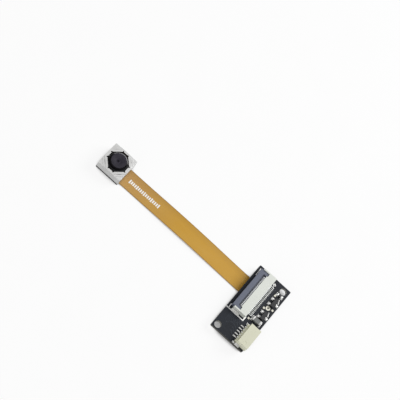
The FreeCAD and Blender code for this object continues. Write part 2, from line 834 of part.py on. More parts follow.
# Connector board with its two mounting holes in opposite corners
def make_board():
    """A plain rectangle of laminate, drilled."""
    board = new_body("circuit_board")
    lower_edge = "(board_edge - board_width)"
    blank = upright(board, [span("board_start", BOARD_END, lower_edge, "board_edge")],
                    BOARD_BOTTOM, BOARD_TOP)
    dress_edges(board, "Fillet", blank, is_vertical, "board_corner_radius")
    upright(board, [circle(f"{BOARD_END} - far_hole_inset_x", "board_edge - far_hole_inset_y",
                           "hole_radius"),
                    circle("board_start + near_hole_inset_x",
                           f"{lower_edge} + near_hole_inset_y", "hole_radius")],
            BOARD_BOTTOM, BOARD_TOP, cut=True)
    return [board]


# Ribbon connector. Its own origin is the middle of the housing's front, on the board
RIBBON_PLACE = (HOUSING_FRONT, "ribbon_offset", BOARD_TOP)
SIDES = (1, -1)


def side_span(x_low, x_high, y_low, y_high, side):
    """A rectangle on one side of the connector's middle line."""
    return span(x_low, x_high, f"{side} * ({y_low})", f"{side} * ({y_high})")


def make_ribbon_housing():
    """Moulded body: a slot for the ribbon, an arm at each end, pockets for the ears, and ribs."""
    housing = new_body("ribbon_connector_housing", *RIBBON_PLACE)
    width = "ribbon_housing_width"
    depth = "ribbon_housing_depth"
    ear_gap = f"({EAR_INNER} - slider_gap)"
    pocket_top = "(ear_pocket_floor + ear_pocket_height)"
    upright(housing, [rectangle(f"{depth} / 2", "0", depth, width)],
            "0", "ribbon_housing_height")
    upright(housing, [side_span("-ribbon_arm_reach", "ribbon_arm_wall", EAR_SIDE,
                                f"{width} / 2", side) for side in SIDES],
            "0", "ribbon_housing_height")
    upright(housing, [span("-ribbon_base_reach", "ribbon_arm_wall", f"-{ear_gap}", ear_gap)],
            "0", "ribbon_floor")
    upright(housing, [span("0", "ribbon_slot_depth", f"-{EAR_INNER}", EAR_INNER)],
            "ribbon_floor", "ribbon_floor + ribbon_slot_height", cut=True)
    for side in SIDES:
        upright(housing, [side_span("0", "ear_pocket_depth", ear_gap, EAR_SIDE, side)],
                "ear_pocket_floor", pocket_top, cut=True)
        upright(housing, [side_span("0", "roof_notch", ear_gap, EAR_SIDE, side)],
                pocket_top, "ribbon_housing_height", cut=True)
    groove_start = "(ribbon_slot_depth - spine_width - contact_gap)"
    groove = sideways(housing, [span(groove_start, depth, "0", "ribbon_floor")],
                      row_start("ribbon_ways", "ribbon_spacing"),
                      "contact_width + 2 * contact_gap", cut=True)
    repeat(housing, [groove], "Y", "ribbon_ways", "ribbon_spacing")
    rib_top = "(upper_beam_level + rib_height)"
    ceiling = "(ribbon_floor + ribbon_slot_height)"
    rib = sideways(housing, [[("-rib_reach", "upper_beam_level"), ("rib_root", "upper_beam_level"),
                              ("rib_root", ceiling), ("0", ceiling), ("0", rib_top),
                              ("-rib_reach", rib_top)]],
                   row_start("(ribbon_ways + 1)", "ribbon_spacing"), "rib_width")
    repeat(housing, [rib], "Y", "(ribbon_ways + 1)", "ribbon_spacing")
    return housing


def make_ribbon_contacts():
    """Forked contacts: two beams in the slot, and a foot on the board behind the housing."""
    contacts = new_body("ribbon_connector_contacts", *RIBBON_PLACE)
    foot_end = "(ribbon_housing_depth + foot_reach)"
    back = "ribbon_slot_depth"
    front = f"({back} - spine_width)"
    upper = "upper_beam_level"
    lower = "(ribbon_floor + lower_beam_gap)"
    outline = [(foot_end, "0"), (foot_end, "foot_thickness"), (back, "foot_thickness"),
               (back, f"{upper} + contact_thickness"),
               ("-upper_beam_reach", f"{upper} + contact_thickness"),
               ("-upper_beam_reach", upper), (front, upper),
               (front, f"{lower} + contact_thickness"),
               ("-lower_beam_reach", f"{lower} + contact_thickness"),
               ("-lower_beam_reach", lower), (front, lower), (front, "0")]
    contact = sideways(contacts, [outline], row_start("ribbon_ways", "ribbon_spacing"),
                       "contact_width")
    repeat(contacts, [contact], "Y", "ribbon_ways", "ribbon_spacing")
    return contacts


def make_ribbon_slider():
    """Sliding lock: a bar, a web and tongue that press the ribbon down, and an ear at each end."""
    slider = new_body("ribbon_connector_slider", *RIBBON_PLACE)
    front = "(-slider_reach)"
    tongue_top = "(upper_beam_level - tongue_gap)"
    tongue_bottom = f"({tongue_top} - tongue_thickness)"
    upright(slider, [span(front, f"{front} + slider_bar_depth", f"-{SLIDER_HALF}", SLIDER_HALF)],
            "slider_bar_level", "slider_top")
    tip = f"({front} + ear_depth)"
    ear = [(front, EAR_INNER), (f"{tip} - ear_corner_cut", EAR_INNER),
           (tip, f"{EAR_INNER} + ear_corner_cut"), (tip, SLIDER_HALF), (front, SLIDER_HALF)]
    upright(slider, [[(x, f"{side} * ({y})") for x, y in ear] for side in SIDES],
            "slider_bottom", "slider_top")
    upright(slider, [span(front, f"{front} + slider_web_depth", f"-{EAR_INNER}", EAR_INNER)],
            tongue_bottom, "slider_bar_level")
    upright(slider, [span(front, f"{front} + tongue_reach", f"-{EAR_INNER}", EAR_INNER)],
            tongue_bottom, tongue_top)
    return slider


def fixing_tab(half_width, foot, height):
    """Section of a bent tab beside a housing: a foot on the board and a leg up the wall."""
    return [(half_width, "0"), (f"{half_width} + {foot}", "0"),
            (f"{half_width} + {foot}", "tab_thickness"),
            (f"{half_width} + tab_thickness", "tab_thickness"),
            (f"{half_width} + tab_thickness", height), (half_width, height)]


def make_ribbon_tabs():
    """A bent tab at each end of the housing."""
    tabs = new_body("ribbon_connector_tabs", *RIBBON_PLACE)
    outline = fixing_tab("ribbon_housing_width / 2", "tab_width", "tab_height")
    start = "(tab_start - ribbon_arm_reach)"
    lengthwise(tabs, [mirrored(outline, side) for side in SIDES], start,
               f"{start} + tab_length")
    return tabs


# Wire connector. Its own origin is the middle of the housing's back, on the board
WIRE_PLACE = (WIRE_BACK, "wire_offset", BOARD_TOP)


def make_wire_housing():
    """Moulded header, open at the board's edge. Each pin has a hole, and a window in the ledge."""
    housing = new_body("wire_connector_housing", *WIRE_PLACE)
    wall_end = "(wire_ledge_depth + wire_rear_wall)"
    upright(housing, [span("wire_ledge_depth", "wire_depth", "-wire_width / 2",
                           "wire_width / 2")], "0", "wire_height")
    half_ledge = "(wire_width / 2 - wire_ledge_inset)"
    upright(housing, [span("0", wall_end, f"-{half_ledge}", half_ledge)],
            "0", "wire_ledge_height")
    half_mouth = "(wire_width / 2 - wire_wall)"
    upright(housing, [span(wall_end, "wire_depth", f"-{half_mouth}", half_mouth)],
            "wire_floor", "wire_height - wire_wall", cut=True)
    upright(housing, [circle("(wire_ledge_depth + wire_depth) / 2",
                             "ejector_inset - wire_width / 2", "ejector_radius")],
            "wire_height - ejector_depth", "wire_height", cut=True)
    hole = sideways(housing, [span("0", wall_end, "pin_level - pin_hole_gap",
                                   "pin_level + pin_thickness + pin_hole_gap")],
                    row_start("wire_ways", "wire_spacing"), "pin_width + 2 * pin_hole_gap",
                    cut=True)
    repeat(housing, [hole], "Y", "wire_ways", "wire_spacing")
    window = sideways(housing, [span("0", "wire_window_depth", "pin_level - pin_hole_gap",
                                     "wire_ledge_height")],
                      row_start("wire_ways", "wire_spacing"), "wire_window_width", cut=True)
    repeat(housing, [window], "Y", "wire_ways", "wire_spacing")
    return housing


def make_wire_contacts():
    """Bent pins: a foot on the board, a leg up behind the ledge and a pin in the mouth."""
    contacts = new_body("wire_connector_contacts", *WIRE_PLACE)
    leg = "(-pin_hole_gap)"
    outline = [("-wire_foot_reach", "0"), ("-wire_foot_reach", "foot_thickness"),
               (f"{leg} - pin_thickness", "foot_thickness"),
               (f"{leg} - pin_thickness", "pin_level + pin_thickness"),
               ("pin_length", "pin_level + pin_thickness"), ("pin_length", "pin_level"),
               (leg, "pin_level"), (leg, "0")]
    pin = sideways(contacts, [outline], row_start("wire_ways", "wire_spacing"), "pin_width")
    repeat(contacts, [pin], "Y", "wire_ways", "wire_spacing")
    return contacts


def make_wire_tabs():
    """A bent tab on each side of the header."""
    tabs = new_body("wire_connector_tabs", *WIRE_PLACE)
    outline = fixing_tab("wire_width / 2", "wire_tab_width", "wire_tab_height")
    lengthwise(tabs, [mirrored(outline, side) for side in SIDES], "wire_ledge_depth",
               "wire_ledge_depth + wire_tab_length")
    return tabs


# Regulators: a moulded body with two bent leads on one side and one on the other
def make_regulator(name, y):
    """One regulator, its body and its leads."""
    place = ("board_start + regulator_x", y, BOARD_TOP)
    body = new_body(name + "_body", *place)
    block = upright(body, [rectangle("0", "0", "regulator_width", "regulator_length")],
                    "regulator_standoff", "regulator_standoff + regulator_height")
    dress_edges(body, "Chamfer", block, on_top, "regulator_bevel")
    leads = new_body(name + "_leads", *place)
    root = "regulator_width / 2"
    tip = "(regulator_width / 2 + lead_reach)"
    knee = f"({tip} - lead_foot)"
    outline = [(root, "lead_level + lead_thickness"), (knee, "lead_level + lead_thickness"),
               (knee, "lead_thickness"), (tip, "lead_thickness"), (tip, "0"),
               (f"{knee} - lead_thickness", "0"), (f"{knee} - lead_thickness", "lead_level"),
               (root, "lead_level")]
    for side, lead_y in ((1, "0"), (-1, "lead_spacing"), (-1, "-lead_spacing")):
        sideways(leads, [mirrored(outline, side)], lead_y, "lead_width")
    return [body, leads]


# Chip parts: a block between two metal ends
def chip_outlines(size, x, y):
    """Outlines of a chip part's block and of its two ends, from the sizes that share a name."""
    length = f"{size}_length"
    end = f"({length} * terminal_share)"
    block = rectangle(x, y, f"{length} - 2 * {end}", f"{size}_width")
    middle = f"(({length} - {end}) / 2)"
    ends = [rectangle(f"{x} + {side} * {middle}", y, end, f"{size}_width + 2 * terminal_wrap")
            for side in SIDES]
    return block, ends


def make_chip_part(name, size):
    """One chip part on the board."""
    place = (f"board_start + {size}_x", f"{size}_y", BOARD_TOP)
    block, ends = chip_outlines(size, "0", "0")
    body = new_body(name + "_body", *place)
    upright(body, [block], "0", f"{size}_height")
    terminals = new_body(name + "_terminals", *place)
    upright(terminals, ends, "0", f"{size}_height + terminal_wrap")
    return [body, terminals]


def make_test_pads():
    """Bare tinned pads: a ring round a plated hole, and small squares."""
    pads = new_body("test_pads", "board_start", z=BOARD_TOP)
    squares = [rectangle(f"{name}_pad_x", f"{name}_pad_y", "small_pad_side", "small_pad_side")
               for name in ("first", "second", "third", "fourth")]
    ring = [circle("ring_x", "ring_y", "ring_radius"), circle("ring_x", "ring_y",
                                                              "ring_bore_radius")]
    upright(pads, squares + ring, "0", "pad_thickness")
    return [pads]


# Plug on the flexible circuit, and the socket that it goes into under the board
PLUG_WIDTH = "(socket_width - 2 * socket_wall - 2 * plug_clearance)"
PLUG_LENGTH = "(socket_length - 2 * socket_wall - 2 * plug_clearance)"


def contact_feet(label, place, half_width, bottom, top):
    """Two rows of contact feet beside a plug or socket."""
    feet = new_body(label, *place)
    start = row_start("mated_ways", "mated_spacing")
    pair = [rectangle(f"{side} * ({half_width} + mated_foot_reach / 2)", start,
                      "mated_foot_reach", "mated_contact_width") for side in SIDES]
    foot = upright(feet, pair, bottom, top)
    repeat(feet, [foot], "Y", "mated_ways", "mated_spacing")
    return feet


def make_socket_and_plug():
    """The socket hangs from the board, the plug stands on the flexible circuit."""
    socket_place = (SOCKET_X, "flex_offset", BOARD_BOTTOM)
    socket = new_body("board_socket", *socket_place)
    upright(socket, [rectangle("0", "0", "socket_width", "socket_length")],
            "-socket_height", "0")
    upright(socket, [rectangle("0", "0", "socket_width - 2 * socket_wall",
                               "socket_length - 2 * socket_wall")],
            "-socket_height", "-socket_roof", cut=True)
    upright(socket, [rectangle("0", "0", "island_width", "island_length")],
            "island_gap - socket_height", "-socket_roof")
    socket_feet = contact_feet("board_socket_contacts", socket_place, "socket_width / 2",
                               "-mated_foot_thickness", "0")
    plug_place = (SOCKET_X, "flex_offset", FLEX_TOP)
    plug = new_body("flex_plug", *plug_place)
    upright(plug, [rectangle("0", "0", PLUG_WIDTH, PLUG_LENGTH)], "0", "plug_height")
    upright(plug, [rectangle("0", "0", "island_width + 2 * plug_clearance",
                             "island_length + 2 * plug_clearance")],
            "plug_floor", "plug_height", cut=True)
    plug_feet = contact_feet("flex_plug_contacts", plug_place, f"{PLUG_WIDTH} / 2",
                             "0", "mated_foot_thickness")
    return [socket, socket_feet, plug, plug_feet]


# Chips, crystal and small parts under the board
def edge_pads(pads, half_width, axis, count, spacing):
    """Two rows of pads along opposite edges of a chip, run along an axis."""
    start = row_start(count, spacing)
    middle = f"({half_width} + chip_pad_overhang - chip_pad_length / 2)"
    pair = []
    for side in SIDES:
        outline = rectangle(f"{side} * {middle}", start, "chip_pad_length", "chip_pad_width")
        pair.append(outline if axis == "Y" else [(y, x) for x, y in outline])
    pad = upright(pads, pair, "-chip_pad_thickness", "0")
    return repeat(pads, [pad], axis, count, spacing)


def make_chips():
    """Controller and memory, each on its pads."""
    controller_place = ("board_start + controller_x", "controller_y", BOARD_BOTTOM)
    controller = new_body("controller_chip", *controller_place)
    upright(controller, [square("controller_side")], "-controller_height - chip_pad_thickness",
            "-chip_pad_thickness")
    controller_pads = new_body("controller_chip_pads", *controller_place)
    for axis in "YX":
        edge_pads(controller_pads, "controller_side / 2", axis, "controller_ways",
                  "controller_spacing")
    memory_place = ("board_start + memory_x", "memory_y", BOARD_BOTTOM)
    memory = new_body("memory_chip", *memory_place)
    upright(memory, [rectangle("0", "0", "memory_length", "memory_width")],
            "-memory_height - chip_pad_thickness", "-chip_pad_thickness")
    memory_pads = new_body("memory_chip_pads", *memory_place)
    edge_pads(memory_pads, "memory_width / 2", "X", "memory_ways", "memory_spacing")
    return [controller, controller_pads, memory, memory_pads]


def make_crystal():
    """Ceramic tray and the metal lid on it."""
    place = ("board_start + crystal_x", "crystal_y", BOARD_BOTTOM)
    base = new_body("crystal_base", *place)
    upright(base, [rectangle("0", "0", "crystal_length", "crystal_width")],
            "-crystal_height", "0")
    lid = new_body("crystal_lid", *place)
    upright(lid, [rectangle("0", "0", "crystal_length - 2 * crystal_lid_inset",
                            "crystal_width - 2 * crystal_lid_inset")],
            "-crystal_height - crystal_lid_height", "-crystal_height")
    return [base, lid]


def make_small_parts():
    """A block of small capacitors in rows and columns."""
    place = ("board_start + small_part_x", "small_part_y", BOARD_BOTTOM)
    blocks = []
    ends = []
    for column in range(int(number("small_part_columns"))):
        for line in range(int(number("small_part_rows"))):
            block, pair = chip_outlines("small_part", f"{column} * small_part_spacing_x",
                                        f"-{line} * small_part_spacing_y")
            blocks.append(block)
            ends += pair
    bodies = new_body("decoupling_capacitors", *place)
    upright(bodies, blocks, "-small_part_height", "0")
    terminals = new_body("decoupling_capacitor_terminals", *place)
    upright(terminals, ends, "-small_part_height - terminal_wrap", "0")
    return [bodies, terminals]


pieces = [make_flex_circuit()]
for make in (make_stiffeners, make_sensor_parts, make_sensor_holder, make_shield_can,
             make_actuator, make_carrier, make_barrel, make_lenses, make_board):
    pieces += make()
for make in (make_ribbon_housing, make_ribbon_contacts, make_ribbon_slider, make_ribbon_tabs,
             make_wire_housing, make_wire_contacts, make_wire_tabs):
    pieces.append(make())
for name in ("upper_regulator", "lower_regulator"):
    pieces += make_regulator(name, name + "_y")
pieces += make_chip_part("chip_resistor", "resistor")
pieces += make_chip_part("supply_capacitor", "capacitor")
for make in (make_test_pads, make_socket_and_plug, make_chips, make_crystal, make_small_parts):
    pieces += make()
doc.recompute()

failed = [item.Label for item in doc.Objects
          if "Invalid" in item.State or "Error" in item.State]
if failed:
    raise RuntimeError("failed features: " + ", ".join(failed))
for piece in pieces:
    if piece.Shape.isNull() or not piece.Shape.isValid():
        raise RuntimeError("bad shape: " + piece.Label)
os.makedirs("parts", exist_ok=True)
for piece in pieces:
    piece.Shape.exportStep(f"parts/{piece.Label}.step")
    print(f"{piece.Label:34s} solids {len(piece.Shape.Solids):3d}  "
          f"volume {piece.Shape.Volume:9.4f} mm3")
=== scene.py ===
import bpy
import bmesh
import json
from math import cos, pi, radians, sin, sqrt
from mathutils import Matrix, Vector


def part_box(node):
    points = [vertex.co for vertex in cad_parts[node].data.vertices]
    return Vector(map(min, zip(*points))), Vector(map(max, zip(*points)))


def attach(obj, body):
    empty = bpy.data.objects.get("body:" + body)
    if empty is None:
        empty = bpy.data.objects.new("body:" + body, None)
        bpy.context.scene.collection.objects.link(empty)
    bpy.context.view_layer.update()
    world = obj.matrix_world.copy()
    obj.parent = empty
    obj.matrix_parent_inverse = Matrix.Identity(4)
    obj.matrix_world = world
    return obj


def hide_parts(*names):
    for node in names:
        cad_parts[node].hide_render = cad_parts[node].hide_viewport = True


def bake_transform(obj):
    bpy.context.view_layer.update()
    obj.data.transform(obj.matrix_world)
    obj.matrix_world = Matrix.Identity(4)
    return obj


# Camera module: finishes, solder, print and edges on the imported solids.
# Meshes are drawn in millimetres, in the frame's own axes, and scaled to metres when they are added.
# The lens axis is Z, the strip runs along X, and the board's far end lies along Y.
MM = 0.001
MAIN_BODY = "camera_body"
LENS_BODY = "lens_group"
LOCK_BODY = "ribbon_lock"

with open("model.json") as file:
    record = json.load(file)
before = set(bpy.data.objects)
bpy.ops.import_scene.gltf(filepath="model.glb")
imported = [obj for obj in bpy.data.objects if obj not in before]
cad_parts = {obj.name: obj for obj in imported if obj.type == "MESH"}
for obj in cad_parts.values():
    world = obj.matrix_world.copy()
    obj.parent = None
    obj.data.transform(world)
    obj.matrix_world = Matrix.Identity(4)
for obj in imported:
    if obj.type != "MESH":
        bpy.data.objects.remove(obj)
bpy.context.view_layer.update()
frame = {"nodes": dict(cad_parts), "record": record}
scene = bpy.context.scene
scene.view_settings.view_transform = "Standard"


# Places and sizes, in millimetres
def box(node):
    """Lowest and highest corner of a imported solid."""
    low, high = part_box(node)
    return low / MM, high / MM


BOARD_LOW, BOARD_HIGH = box("circuit_board")
TOP = BOARD_HIGH.z
PAD_THICKNESS = 0.035
PAD_TOP = TOP + PAD_THICKNESS
PRINT_THICKNESS = 0.015
TRACE_THICKNESS = 0.012
RIBBON_WAYS = 24
RIBBON_SPACING = 0.5
WIRE_WAYS = 5
WIRE_SPACING = 1.0
HOLE_RADIUS = 1.1
FAR_HOLE = (BOARD_HIGH.x - 1.9, BOARD_HIGH.y - 1.65)
NEAR_HOLE = (BOARD_LOW.x + 1.6, BOARD_LOW.y + 1.4)

# The flexible strip, which arches a little between two straight ends
FLEX_MIDDLE = -0.35
FLEX_HALF_WIDTH = 3.0
FLEX_THICKNESS = 0.15
FLEX_RISE = 0.5
FLEX_STRAIGHT = 0.4

# The head: its can, and the leaf springs round the lens carrier
CAN_SIDE = box("shield_can")[1].x
CAN_TOP = box("shield_can")[1].z
CAN_WALL = 0.15
CARRIER_FLAT = 3.42
CARRIER_DIAGONAL = 3.2
SPRING_RING_WIDTH = 0.22
SPRING_ARM_WIDTH = 0.12
SPRING_ARM_GAP = 0.2
SPRING_BRIDGE_START = 0.6
SPRING_CORNER_LINE = 5.9


# Nodes that several materials use
def srgb(r, g, b):
    """A colour given as 0 to 255 values, as the linear values that a shader takes."""
    def linear(v):
        v /= 255
        return v / 12.92 if v <= 0.04045 else ((v + 0.055) / 1.055) ** 2.4
    return (linear(r), linear(g), linear(b), 1.0)


def shade(colour, factor):
    """A colour made lighter or darker."""
    return tuple(min(1.0, c * factor) for c in colour[:3]) + (1.0,)


def new_material(name, roughness=0.5, specular=0.5, metallic=0.0):
    """A material, its node tree and its shader."""
    material = bpy.data.materials.new(name)
    material.use_nodes = True
    shader = material.node_tree.nodes["Principled BSDF"]
    shader.inputs["Roughness"].default_value = roughness
    shader.inputs["Specular IOR Level"].default_value = specular
    shader.inputs["Metallic"].default_value = metallic
    return material, material.node_tree, shader


def coordinates(tree, stretch=(1, 1, 1)):
    """The place on the object, stretched along each axis."""
    place = tree.nodes.new("ShaderNodeTexCoord")
    mapping = tree.nodes.new("ShaderNodeMapping")
    mapping.inputs["Scale"].default_value = stretch
    tree.links.new(place.outputs["Object"], mapping.inputs["Vector"])
    return mapping.outputs["Vector"]


def math_node(tree, operation, first, second=None):
    """The result of a sum on values that are numbers or sockets."""
    node = tree.nodes.new("ShaderNodeMath")
    node.operation = operation
    for socket, value in zip(node.inputs, (first, second)):
        if isinstance(value, (int, float)):
            socket.default_value = value
        elif value is not None:
            tree.links.new(value, socket)
    return node.outputs["Value"]


def axis_value(tree, vector, axis):
    """One coordinate of a vector."""
    split = tree.nodes.new("ShaderNodeSeparateXYZ")
    tree.links.new(vector, split.inputs["Vector"])
    return split.outputs[axis]


def distance_from_axis(tree, vector, shift=0.0):
    """How far a place lies from the lens axis, or from a line beside it, shifted in millimetres along Y."""
    x = axis_value(tree, vector, "X")
    y = math_node(tree, "SUBTRACT", axis_value(tree, vector, "Y"), shift * MM)
    squares = [math_node(tree, "MULTIPLY", side, side) for side in (x, y)]
    return math_node(tree, "SQRT", math_node(tree, "ADD", *squares))


def noise(tree, vector, per_mm, detail=3.0, roughness=0.55):
    """A noise value, its scale given per millimetre."""
    node = tree.nodes.new("ShaderNodeTexNoise")
    node.inputs["Scale"].default_value = per_mm / MM
    node.inputs["Detail"].default_value = detail
    node.inputs["Roughness"].default_value = roughness
    tree.links.new(vector, node.inputs["Vector"])
    return node.outputs["Fac"]


def spread(tree, value, low, high, start=0.3, end=0.7):
    """A value brought between two limits. The usual start and end are where a noise value lies."""
    node = tree.nodes.new("ShaderNodeMapRange")
    node.inputs["From Min"].default_value = start
    node.inputs["From Max"].default_value = end
    node.inputs["To Min"].default_value = low
    node.inputs["To Max"].default_value = high
    tree.links.new(value, node.inputs["Value"])
    return node.outputs["Result"]


def ramp(tree, place, start, end, full=1):
    """0 at one place and full at another, both in millimetres."""
    return spread(tree, place, 0, full, start * MM, end * MM)


def mix(tree, factor, first, second):
    """Two colours mixed by a factor."""
    node = tree.nodes.new("ShaderNodeMix")
    node.data_type = "RGBA"
    sockets = (node.inputs["Factor"], node.inputs[6], node.inputs[7])
    for socket, value in zip(sockets, (factor, first, second)):
        if isinstance(value, (int, float, tuple)):
            socket.default_value = value
        else:
            tree.links.new(value, socket)
    return node.outputs[2]


def clouded(tree, value, colour, darkest, lightest):
    """A colour that drifts between a darker and a lighter share of itself with a noise value."""
    return mix(tree, spread(tree, value, 0, 1), shade(colour, darkest), shade(colour, lightest))


def paint(tree, shader, colour):
    """Give a shader its colour from nodes."""
    tree.links.new(colour, shader.inputs["Base Color"])


def vary_roughness(tree, shader, value, middle, reach):
    """Let a shader's roughness wander about its middle with a noise value."""
    tree.links.new(spread(tree, value, middle - reach, middle + reach), shader.inputs["Roughness"])


def bump(tree, shader, height, strength, depth):
    """Fine relief, its depth in millimetres."""
    node = tree.nodes.new("ShaderNodeBump")
    node.inputs["Strength"].default_value = strength
    node.inputs["Distance"].default_value = depth * MM
    tree.links.new(height, node.inputs["Height"])
    tree.links.new(node.outputs["Normal"], shader.inputs["Normal"])


# Materials
def plastic(name, colour, roughness, drift=0.06, grain=9.0, depth=0.004, specular=0.5):
    """Moulded plastic: slight drift of colour and the fine grain of an eroded mould."""
    material, tree, shader = new_material(name, roughness, specular)
    vector = coordinates(tree)
    paint(tree, shader, clouded(tree, noise(tree, vector, 0.42, 4.0), colour, 1 - drift, 1 + drift))
    fine = noise(tree, vector, grain, 2.0)
    vary_roughness(tree, shader, fine, roughness, 0.06)
    bump(tree, shader, fine, 0.35, depth)
    return material


def metal(name, colour, roughness, stretch=(1, 1, 1), grain=5.0, drift=0.08, depth=0.002, uneven_by=0.08):
    """Metal with fine rolling or drawing lines along one direction and faint handling marks."""
    material, tree, shader = new_material(name, roughness, metallic=1.0)
    fine = noise(tree, coordinates(tree, stretch), grain, 3.0, 0.6)
    broad = noise(tree, coordinates(tree), 0.52, 4.0)
    paint(tree, shader, clouded(tree, broad, colour, 1 - drift, 1 + drift))
    marks = math_node(tree, "MULTIPLY", math_node(tree, "ADD", fine, broad), 0.5)
    vary_roughness(tree, shader, marks, roughness, uneven_by)
    bump(tree, shader, fine, 0.25, depth)
    return material


def wound_wire(name, colour, wire):
    """Enamelled wire in layers of turns, one turn above the other."""
    # A wave texture multiplies its scaled length by this before it takes the sine
    wave_factor = 20
    material, tree, shader = new_material(name, 0.3, metallic=1.0)
    turns = tree.nodes.new("ShaderNodeTexWave")
    turns.bands_direction = "Z"
    turns.inputs["Scale"].default_value = 2 * pi / (wave_factor * wire * MM)
    tree.links.new(coordinates(tree), turns.inputs["Vector"])
    # Painted shade in the grooves between turns and painted light on their tops
    paint(tree, shader, mix(tree, turns.outputs["Fac"], shade(colour, 0.45), shade(colour, 1.1)))
    bump(tree, shader, turns.outputs["Fac"], 0.6, wire / 3)
    return material


def carrier_plastic(name, dark, painted_highlight):
    """Dark moulded plastic with a painted highlight: pale along the far side of its rim."""
    highlight_start, highlight_full = 0.2, 1.2
    rim_inside, rim_edge, rim_shift = 2.62, 2.68, 0.35
    material, tree, shader = new_material(name, 0.45, 0.2)
    vector = coordinates(tree)
    far = ramp(tree, axis_value(tree, vector, "Y"), highlight_start, highlight_full)
    inner = ramp(tree, distance_from_axis(tree, vector, rim_shift), rim_edge, rim_inside)
    # Painted highlight: the far side of the rim is painted pale where the light catches it
    paint(tree, shader, mix(tree, math_node(tree, "MINIMUM", far, inner), dark, painted_highlight))
    bump(tree, shader, noise(tree, vector, 9.0), 0.3, 0.003)
    return material


def barrel_plastic(name, face, side):
    """Black plastic with a smooth funnel, and a rough side painted deeper black as painted shade."""
    funnel_edge, painted_shade_start = 2.34, 2.4
    material, tree, shader = new_material(name, 0.55, 0.08)
    vector = coordinates(tree)
    outside = ramp(tree, distance_from_axis(tree, vector), funnel_edge, painted_shade_start)
    funnel = clouded(tree, noise(tree, vector, 0.8), face, 0.76, 1.16)
    # The side's deeper black is painted shade: funnel and side are one black plastic
    paint(tree, shader, mix(tree, outside, funnel, side))
    bump(tree, shader, noise(tree, vector, 8.0, 2.0), 0.35, 0.003)
    return material


def coated_lens(name, rim, pupil, pupil_radius):
    """A coated surface: a pupil in the middle of a clouded rim, with a soft edge between them."""
    softness = 0.06
    material, tree, shader = new_material(name, 0.45, 0.1)
    vector = coordinates(tree)
    outside = ramp(tree, distance_from_axis(tree, vector), pupil_radius - softness, pupil_radius + softness)
    around = clouded(tree, noise(tree, vector, 0.9, 2.0), rim, 0.85, 1.15)
    paint(tree, shader, mix(tree, outside, pupil, around))
    return material


def filter_glass(name, colour):
    """Thin coated filter glass."""
    material, tree, shader = new_material(name, 0.04)
    paint(tree, shader, clouded(tree, noise(tree, coordinates(tree), 0.7, 2.0), colour, 0.92, 1.08))
    shader.inputs["Transmission Weight"].default_value = 0.85
    shader.inputs["IOR"].default_value = 1.5
    return material


def flexible_film(name):
    """Golden film over copper tracks along the strip, browner towards the head, darker at its edges."""
    near_head, far_end = srgb(188, 147, 93), srgb(203, 154, 50)
    pale_cloud, track_tint = srgb(210, 168, 78), srgb(164, 116, 40)
    far_side, rim_colour = srgb(160, 122, 52), srgb(150, 112, 44)
    brown_end, golden_start, rim_start, rim_full = 4, 26, 0.28, 0.16
    material, tree, shader = new_material(name, 0.4, 0.3)
    vector = coordinates(tree)
    golden = ramp(tree, axis_value(tree, vector, "X"), brown_end, golden_start)
    colour = mix(tree, golden, near_head, far_end)
    cloud = noise(tree, coordinates(tree, (0.35, 1, 1)), 0.26, 4.0)
    colour = mix(tree, spread(tree, cloud, 0, 0.4, 0.35, 0.75), colour, pale_cloud)
    tracks = tree.nodes.new("ShaderNodeTexWave")
    tracks.bands_direction = "Y"
    tracks.inputs["Scale"].default_value = 0.8 / MM
    tree.links.new(vector, tracks.inputs["Vector"])
    lines = spread(tree, tracks.outputs["Fac"], 0, 1, 0.35, 0.65)
    colour = mix(tree, math_node(tree, "MULTIPLY", lines, 0.14), colour, track_tint)
    off_middle = math_node(tree, "SUBTRACT", axis_value(tree, vector, "Y"), FLEX_MIDDLE * MM)
    colour = mix(tree, ramp(tree, off_middle, 0.8, FLEX_HALF_WIDTH, 0.35), colour, far_side)
    across = math_node(tree, "ABSOLUTE", off_middle)
    rim = ramp(tree, across, FLEX_HALF_WIDTH - rim_start, FLEX_HALF_WIDTH - rim_full, 0.7)
    paint(tree, shader, mix(tree, rim, colour, rim_colour))
    shader.inputs["Coat Weight"].default_value = 0.12
    shader.inputs["Coat Roughness"].default_value = 0.25
    fine = math_node(tree, "MULTIPLY", noise(tree, vector, 7.0, 2.0), 0.2)
    bump(tree, shader, math_node(tree, "ADD", lines, fine), 0.25, 0.006)
    return material


def solder_mask(name, dark, light, edge):
    """Dark mask over a glass weave and faint copper areas. The board's cut edges show the laminate."""
    material, tree, shader = new_material(name, 0.42, 0.2)
    vector = coordinates(tree)
    copper = spread(tree, noise(tree, vector, 0.16, 4.0), 0, 1, 0.35, 0.65)
    mask = mix(tree, copper, dark, light)
    geometry = tree.nodes.new("ShaderNodeNewGeometry")
    upward = math_node(tree, "ABSOLUTE", axis_value(tree, geometry.outputs["Normal"], "Z"))
    laminate = clouded(tree, noise(tree, coordinates(tree, (1, 1, 6)), 4.0), edge, 0.8, 1.2)
    paint(tree, shader, mix(tree, spread(tree, upward, 0, 1, 0.4, 0.6), laminate, mask))
    fine = noise(tree, vector, 2.6)
    vary_roughness(tree, shader, fine, 0.42, 0.08)
    weave = tree.nodes.new("ShaderNodeTexChecker")
    weave.inputs["Scale"].default_value = 2.6 / MM
    tree.links.new(vector, weave.inputs["Vector"])
    threads = math_node(tree, "MULTIPLY", weave.outputs["Fac"], 0.3)
    bump(tree, shader, math_node(tree, "ADD", fine, threads), 0.2, 0.006)
    return material


